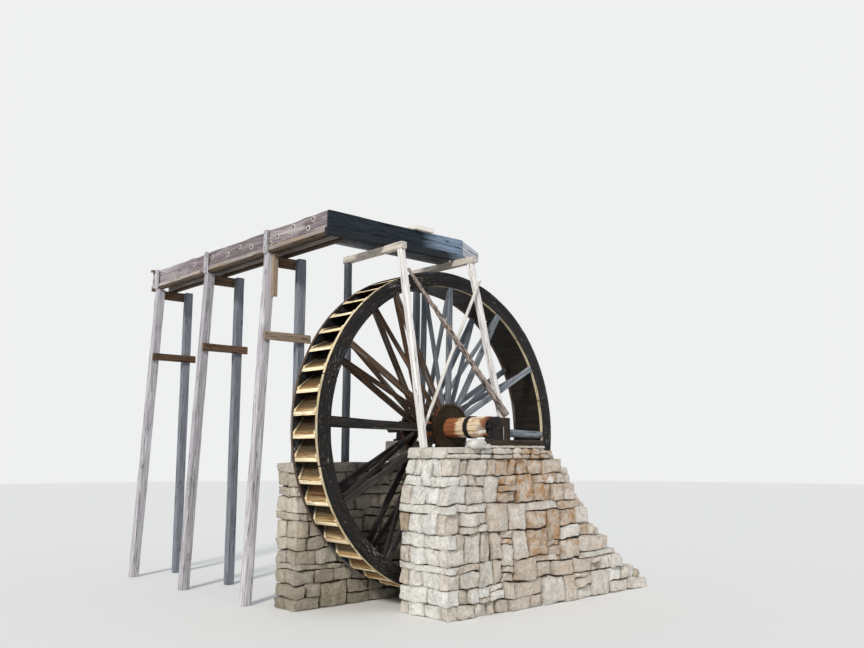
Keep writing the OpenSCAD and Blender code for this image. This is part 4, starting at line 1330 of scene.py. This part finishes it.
# Upper right arms are pale blue-grey, lower left ones dark
ARM_FINISH = ("blue_arm", "blue_arm", "blue_arm", "arm_timber", "arm_timber", "dark_arm",
              "dark_arm", "dark_arm", "arm_timber", "arm_timber", "blue_arm", "blue_arm")
BUCKETS = 48
BUCKET_PHASE = math.radians(3.8)
BUCKET_T = 0.038
BUCKET_DEPTH = 0.34
BUCKET_SLOPE = math.radians(49)
CLEAT_W, CLEAT_T = 0.04, 0.028
HUB_R = 0.205
# Bolts of a shroud: degrees from each arm, and distances from the rim
BOLT_TURNS = (-14.2, -15.8, -1.1, 1.1)
BOLT_DEPTHS = (0.055, SHROUD_D - 0.05)


def wheel_point(radius, angle, y):
    return np.array([radius * math.cos(angle), y, AXLE_Z + radius * math.sin(angle)])


def tangent_at(angle):
    return np.array([-math.sin(angle), 0, math.cos(angle)])


def felloe(angle, y, rng):
    """One plank of a shroud: its length bent to the ring, its width radial"""
    middle = WHEEL_R - SHROUD_D / 2
    length = math.tau / ARMS * middle - 0.003

    def bent(local):
        turn = angle + local[:, 0] / middle
        radius = middle + local[:, 1]
        return np.column_stack([radius * np.cos(turn), y + local[:, 2], AXLE_Z + radius * np.sin(turn)])
    return board("plank", (length, SHROUD_D, SHROUD_T), bent, rng, "shroud_timber", edge=0.007, rough=0.004)


def refinish(piece, finish, test):
    """Gives another finish to the faces that pass the test"""
    piece.data.materials.append(FINISH[finish])
    for face in piece.data.polygons:
        if test(face):
            face.material_index = len(piece.data.materials) - 1


def outward(face):
    """How far a face lies from the axle's line, and how straight it faces away from it"""
    way = Vector((face.center.x, 0, face.center.z - AXLE_Z))
    return way.length, face.normal.dot(way.normalized())


def build_shrouds():
    # Shroud planks are darkened as painted shade; the front shroud's radial edges are paler, as painted
    # sunlight
    for name, node, y, edges in (("front_shroud_planks", "front_shroud", FRONT_MID, "rim_timber"),
                                 ("back_shroud_planks", "back_shroud", BACK_MID, "arm_timber")):
        rng = random.Random(name)
        planks = [felloe(angle, y, rng) for angle in ARM_ANGLES]
        piece = assemble(name, planks, "wheel", [node])
        refinish(piece, edges, lambda face: abs(outward(face)[1]) > 0.8)
    parts = []
    for face, way in ((WHEEL_FRONT, -1), (WHEEL_BACK, 1)):
        for angle in ARM_ANGLES:
            for turn in BOLT_TURNS:
                for depth in BOLT_DEPTHS:
                    at = wheel_point(WHEEL_R - depth, angle + math.radians(turn), face - way * 0.001)
                    parts.append(nut(at, (0, way, 0), 0.009))
    assemble("shroud_bolts", parts, "wheel")


def build_sole():
    rng = random.Random("sole")
    parts = []
    middle = SOLE_R - SOLE_T / 2
    half_turn = math.pi / BUCKETS
    for k in range(BUCKETS):
        angle = BUCKET_PHASE + (k + 0.5) * math.tau / BUCKETS
        wide = 2 * middle * math.sin(half_turn) - 0.003
        place = laid(wheel_point(middle * math.cos(half_turn), angle, WHEEL_MID), BACK, tangent_at(angle))
        parts.append(board("short", (INSIDE_W, wide, SOLE_T), place, rng, "sole_timber",
                           edge=0.003, rough=0.002))
    assemble("sole_planks", parts, "wheel", ["sole_boards"])


def across_bucket(angle, low, high, end_r, y0, y1):
    """Maps a board to a bucket's place: its thickness from low to high off the board's middle plane,
    its ends on the sole and on the rim"""
    cosine, sine = math.cos(BUCKET_SLOPE), math.sin(BUCKET_SLOPE)
    reach = WHEEL_R * cosine

    def end(v, radius):
        return -reach + np.sqrt(reach ** 2 - (WHEEL_R ** 2 - radius ** 2) - v ** 2 + 2 * WHEEL_R * v * sine)

    def place(local, half):
        v = (low + high) / 2 + local[:, 2] / half[2] * (high - low) / 2
        share = (local[:, 0] / half[0] + 1) / 2
        u = end(v, SOLE_R) + share * (end(v, end_r) - end(v, SOLE_R))
        lean = angle + BUCKET_SLOPE
        x = WHEEL_R * math.cos(angle) + u * math.cos(lean) - v * math.sin(lean)
        z = WHEEL_R * math.sin(angle) + u * math.sin(lean) + v * math.cos(lean)
        y = (y0 + y1) / 2 + local[:, 1] / half[1] * (y1 - y0) / 2
        return np.column_stack([x, y, AXLE_Z + z])
    return place


# A bucket's wood is painted near black at the sole, as painted shade deep in the bucket, and bright at the
# lip
SHADE_BY_DEPTH = ([0, 0.45, 0.72, 0.92, 1], [-1.75, -1.75, -1.3, 0.5, 0.8])


def bucket_part(angle, low, high, end_r, y0, y1, rng, finish):
    """A board or cleat of a bucket, its grain along the axle"""
    size = (BUCKET_DEPTH, abs(y1 - y0), high - low)
    place = across_bucket(angle, low, high, end_r, y0, y1)
    out = (SHAPES["short"][:, 0] + 1) / 2
    # Painted shade: this tone darkens the board toward the sole, where the bucket above shades it
    wet = np.interp(out, *SHADE_BY_DEPTH) + 0.3 * rng.random()
    return board("short", size, lambda local: place(local, np.array(size) / 2), rng, finish, edge=0.004,
                 rough=0.0025, tone=wet, grain_order=(1, 0, 2))


def build_buckets():
    rng = random.Random("buckets")
    boards, cleats = [], []
    y0, y1 = front_high.y + 0.001, back_low.y - 0.001
    under = -BUCKET_T / 2
    for k in range(BUCKETS):
        angle = BUCKET_PHASE + k * math.tau / BUCKETS
        boards.append(bucket_part(angle, under, BUCKET_T / 2, WHEEL_R, y0, y1, rng, "bucket_timber"))
        for near, far in ((y0, y0 + CLEAT_W), (y1 - CLEAT_W, y1)):
            cleats.append(bucket_part(angle, under - CLEAT_T, under, WHEEL_R - 0.004, near, far, rng,
                                      "cleat_timber"))
    piece = assemble("bucket_boards", boards, "wheel", ["buckets"])
    # The boards' undersides, facing the axle, get a near black finish: painted shade under each board
    refinish(piece, "bucket_dark", lambda face: outward(face)[1] < -0.3)
    # The lips, facing straight out at the rim, get the palest finish: pale wood made paler by painted
    # sunlight
    refinish(piece, "lip_timber", lambda face: outward(face)[1] > 0.93 and outward(face)[0] > WHEEL_R - 0.02)
    assemble("bucket_cleats", cleats, "wheel", ["front_cleats", "back_cleats"])


def spokes(name, node, start_y, stop_y, start_r, stop_r, wide, thick, side=0, **how):
    """A set of arms or braces from hub to shroud, each set off to one side of its arm's line"""
    rng = random.Random(name)
    parts = []
    for angle, finish in zip(ARM_ANGLES, ARM_FINISH):
        tangent = tangent_at(angle)
        a = wheel_point(start_r, angle, start_y) + tangent * side
        b = wheel_point(stop_r, angle, stop_y) + tangent * side
        place = laid((a + b) / 2, b - a, tangent)
        size = (np.linalg.norm(b - a), wide, thick)
        parts.append(board("plank", size, place, rng, finish, rough=0.004, **how))
    assemble(name, parts, "wheel", [node])


def build_arms():
    how = dict(start_r=HUB_R + 0.002, stop_r=RING_IN + 0.004, wide=ARM_W, thick=ARM_T, edge=0.006, bow=0.005)
    spokes("front_arm_timbers", "front_arms", FRONT_MID, FRONT_MID, **how)
    spokes("back_arm_timbers", "back_arms", BACK_MID, BACK_MID, **how)
    near = FRONT_MID + ARM_T / 2 + BRACE_T / 2 + 0.001
    far = BACK_MID - ARM_T / 2 - BRACE_T / 2 - 0.001
    off = BRACE_W / 2 + 0.0005
    how = dict(start_r=HUB_R, stop_r=RING_IN, wide=BRACE_W, thick=BRACE_T, edge=0.005, bow=0.006)
    spokes("braces_outward", "braces_out", near, far, side=off, **how)
    spokes("braces_inward", "braces_in", far, near, side=-off, **how)


AXLE_SIDES = 12
AXLE_CUTS = 60
END_RINGS = (0.03, 0.05, 0.04)
axle_low, axle_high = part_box("shaft")
# From the middle of a flat, and from there out to a corner
AXLE_FLAT_R = (axle_high.z - axle_low.z) / 2
AXLE_CORNER_R = AXLE_FLAT_R / math.cos(math.pi / AXLE_SIDES)
# The strip of the front hoop: its inner radius, thickness, width, place from the axle's end, and turn
HOOP_R = AXLE_CORNER_R + 0.002
HOOP_T, HOOP_W, HOOP_PLACE = 0.009, 0.07, 0.038
HOOP_TURN = math.radians(128)


def notch(side):
    """Share of the broken place at an angle round the axle, on its lower left"""
    return max(0.0, 1 - abs((side + 2.72 + math.pi) % math.tau - math.pi) / 0.42)


def build_axle():
    """A twelve-sided timber: worn arrises, long cracks along its faces, and a broken front end"""
    low, high = axle_low, axle_high
    clear_selection()
    bpy.ops.mesh.primitive_cylinder_add(
        vertices=AXLE_SIDES, radius=AXLE_CORNER_R, depth=high.y - low.y,
        location=(0, (low.y + high.y) / 2, AXLE_Z), rotation=(math.pi / 2, math.pi / AXLE_SIDES, 0))

    def end_rings():
        for step in END_RINGS:
            bpy.ops.mesh.inset(thickness=step)

    axle = shaped(settle(), "EDGE", lambda ends: abs(ends[0].y - ends[1].y) > 1,
                  bpy.ops.mesh.bevel, offset=0.026, segments=3, affect="EDGES")
    axle = shaped(axle, "FACE", lambda ring: max(c.y for c in ring) - min(c.y for c in ring) < 0.01,
                  end_rings)
    axle = cut_across(axle, AXLE_CUTS, axis=1)
    co = points(axle)
    for i, p in enumerate(co):
        wave = noise.noise(Vector((p[0] * 22, p[1] * 2.2, p[2] * 22)))
        split = max(0.0, noise.noise(Vector((p[0] * 17 + 5, p[1] * 1.3, p[2] * 17))) - 0.22)
        way = np.array([p[0], 0, p[2] - AXLE_Z])
        reach = np.linalg.norm(way)
        way /= reach + 1e-9
        side = math.atan2(p[2] - AXLE_Z, p[0])
        broken = notch(side) * max(0.0, min(1.0, (low.y + 0.17 - p[1]) / 0.05))
        inward = 0.004 * wave - 0.05 * split - 0.002 - 0.05 * broken
        co[i] = p + way * inward * min(1.0, reach / 0.12)
        if abs(p[1] - low.y) < 0.01:
            co[i][1] += 0.012 * abs(noise.noise(Vector(p) * 14)) * 2
    axle.data.vertices.foreach_set("co", co.ravel())
    mark(axle, "grain", co[:, [1, 0, 2]])
    mark(axle, "tone", 0.5)
    axle.data.materials.clear()
    axle.data.materials.append(FINISH["axle_timber"])
    piece = assemble("axle_timber", [axle], "wheel", ["shaft"], crease=30)

    def freshly_broken(face):
        side = math.atan2(face.center.z - AXLE_Z, face.center.x)
        return face.center.y < low.y + 0.15 and notch(side) > 0.25 and abs(face.normal.y) < 0.6
    refinish(piece, "cap_timber", freshly_broken)


def build_end_hoop():
    """What is left of the front hoop: a rusted strip round the upper right of the axle's end"""
    clear_selection()
    bpy.ops.mesh.primitive_plane_add(size=1, location=(HOOP_R + 0.005, axle_low.y + HOOP_PLACE, AXLE_Z))
    bpy.ops.transform.resize(value=(HOOP_T, HOOP_W, 1))
    settle()

    def wind():
        bpy.ops.mesh.spin(steps=26, angle=HOOP_TURN, center=(0, 0, AXLE_Z), axis=FRONT)
        bpy.ops.mesh.select_all(action="SELECT")
        bpy.ops.mesh.normals_make_consistent(inside=False)

    strip = whole(wind)
    co = points(strip)
    for i, p in enumerate(co):
        edge = 0.010 * noise.noise(Vector(p) * 24) + 0.005 * noise.noise(Vector(p) * 60)
        way = np.array([p[0], 0, p[2] - AXLE_Z])
        co[i] = p + way / np.linalg.norm(way) * 0.25 * edge
        co[i][1] += edge
    strip.data.vertices.foreach_set("co", co.ravel())
    strip.data.materials.append(FINISH["hoop_rust"])
    assemble("end_hoop_strip", [strip], "wheel", crease=40)


BEAM = (Vector((-0.4, -0.495, 2.46)), Vector((1.05, -0.335, 2.55)))
STAND_W, STAND_D = 0.2, 0.23
STAND_NUTS = (0.12, 0.38)


def build_beam():
    """The dark timber under the front bearing, and the block that the right post stands on"""
    rng = random.Random("beam")
    low, high = BEAM
    parts = [board("long", high - low, laid((low + high) / 2, RIGHT, BACK), rng, "bearing_timber",
                   edge=0.03, rough=0.007, bow=0.004)]
    foot = post_ends("right_post")[0]
    low = Vector((foot.x - STAND_W / 2, foot.y - STAND_D / 2, PIER_TOP))
    high = Vector((foot.x + STAND_W / 2, foot.y + STAND_D / 2, foot.z))
    parts.append(box_board(low, high, "z", rng, "bearing_timber", edge=0.014, rough=0.006))
    for z in STAND_NUTS:
        parts.append(nut((foot.x - STAND_W / 2, foot.y, low.z + z), LEFT, 0.012))
    assemble("bearing_beam_timbers", parts, "plant", ["bearing_beam"])


CASTINGS = {"dark_iron": ("front_bearing", "back_bearing", "shaft_hoops", "front_gudgeon", "back_gudgeon"),
            "hub_iron": ("front_hub", "back_hub")}
# Nuts of a bearing: distance from its middle and height above a level, on its cap and on its foot
CAP_NUTS, CAP_NUT_RISE = (-0.109, 0.109), 0.022
FOOT_NUTS, FOOT_NUT_RISE = (-0.14, 0.14), 0.034
ROD_X, ROD_OUT, ROD_R = 0.112, 0.009, 0.006
# Nuts stand on the hub's plate, below its boss, and on the gudgeon's flange
HUB_DISH, HUB_NUT_R = 0.017, 0.30
FLANGE_T, FLANGE_NUT_R = 0.013, 0.095


def build_ironwork():
    """Bolts and nuts on the hubs, gudgeons and bearings; the castings keep their own shapes"""
    for finish, nodes in CASTINGS.items():
        for node in nodes:
            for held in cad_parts[node].material_slots:
                held.material = FINISH[finish]
    parts = []
    for node, way in (("front_hub", -1), ("back_hub", 1)):
        low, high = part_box(node)
        face = (low.y if way < 0 else high.y) - way * HUB_DISH
        parts += [nut(wheel_point(HUB_NUT_R, angle, face), (0, way, 0), 0.014) for angle in ARM_ANGLES]
    for face, way in ((axle_low.y - FLANGE_T, -1), (axle_high.y + FLANGE_T, 1)):
        parts += [nut(wheel_point(FLANGE_NUT_R, k * math.tau / 6, face), (0, way, 0), 0.009)
                  for k in range(6)]
    assemble("wheel_bolts", parts, "wheel")
    parts = []
    for node in ("front_bearing", "back_bearing"):
        low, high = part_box(node)
        middle = (low.y + high.y) / 2
        parts += [nut((x, middle, AXLE_Z + CAP_NUT_RISE), UP, 0.013) for x in CAP_NUTS]
        parts += [nut((x, middle, low.z + FOOT_NUT_RISE), UP, 0.013) for x in FOOT_NUTS]
    low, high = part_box("front_bearing")
    foot = Vector((ROD_X, low.y - ROD_OUT, low.z))
    parts.append(pole(foot, (foot.x, foot.y, AXLE_Z), ROD_R, ROD_R, random.Random("rod"), "pale_iron",
                      rough=0.001, bend=0.0))
    assemble("bearing_nuts", parts, "plant")


# Floor and sky

def set_stage():
    """A plain pale floor and background"""
    clear_selection()
    bpy.ops.mesh.primitive_circle_add(vertices=96, radius=FLOOR_R, fill_type="NGON", location=(0, 2, -0.001))
    floor = bpy.context.object
    floor.name = "floor"
    material, p = fresh("pale_floor")
    shader = p.put("ShaderNodeBsdfPrincipled", {"Base Color": "e3e2df", "Roughness": 0.9})
    p.put("ShaderNodeOutputMaterial", {"Surface": shader.outputs[0]})
    floor.data.materials.append(material)
    world = bpy.data.worlds.new("sky")
    bpy.context.scene.world = world
    world.use_nodes = True
    p = Paint(world.node_tree)
    rays = p.put("ShaderNodeLightPath").outputs
    seen = p.plus(p.plus(rays["Is Camera Ray"], rays["Is Glossy Ray"]), rays["Is Transmission Ray"])
    seen = p.reckon("MINIMUM", seen, 1.0)
    light = p.put("ShaderNodeBackground", {"Color": SKY_COLOUR, "Strength": SKY_STRENGTH})
    back = p.put("ShaderNodeBackground", {"Color": "eff0f0", "Strength": 1.0})
    mixed = p.put("ShaderNodeMixShader", {0: seen, 1: light.outputs[0], 2: back.outputs[0]})
    p.put("ShaderNodeOutputWorld", {"Surface": mixed.outputs[0]})


for make in (set_camera, set_light, build_pier_and_wing, build_pit_wall, build_flat_stones, build_trestle,
             build_poles, build_side_flume, build_head_flume, build_spout, build_bents, build_shrouds,
             build_sole, build_buckets, build_arms, build_axle, build_end_hoop, build_beam, build_ironwork,
             set_stage):
    make()

for blank in BLANKS.values():
    bpy.data.objects.remove(blank, do_unlink=True)
bpy.context.scene.view_settings.view_transform = "Standard"
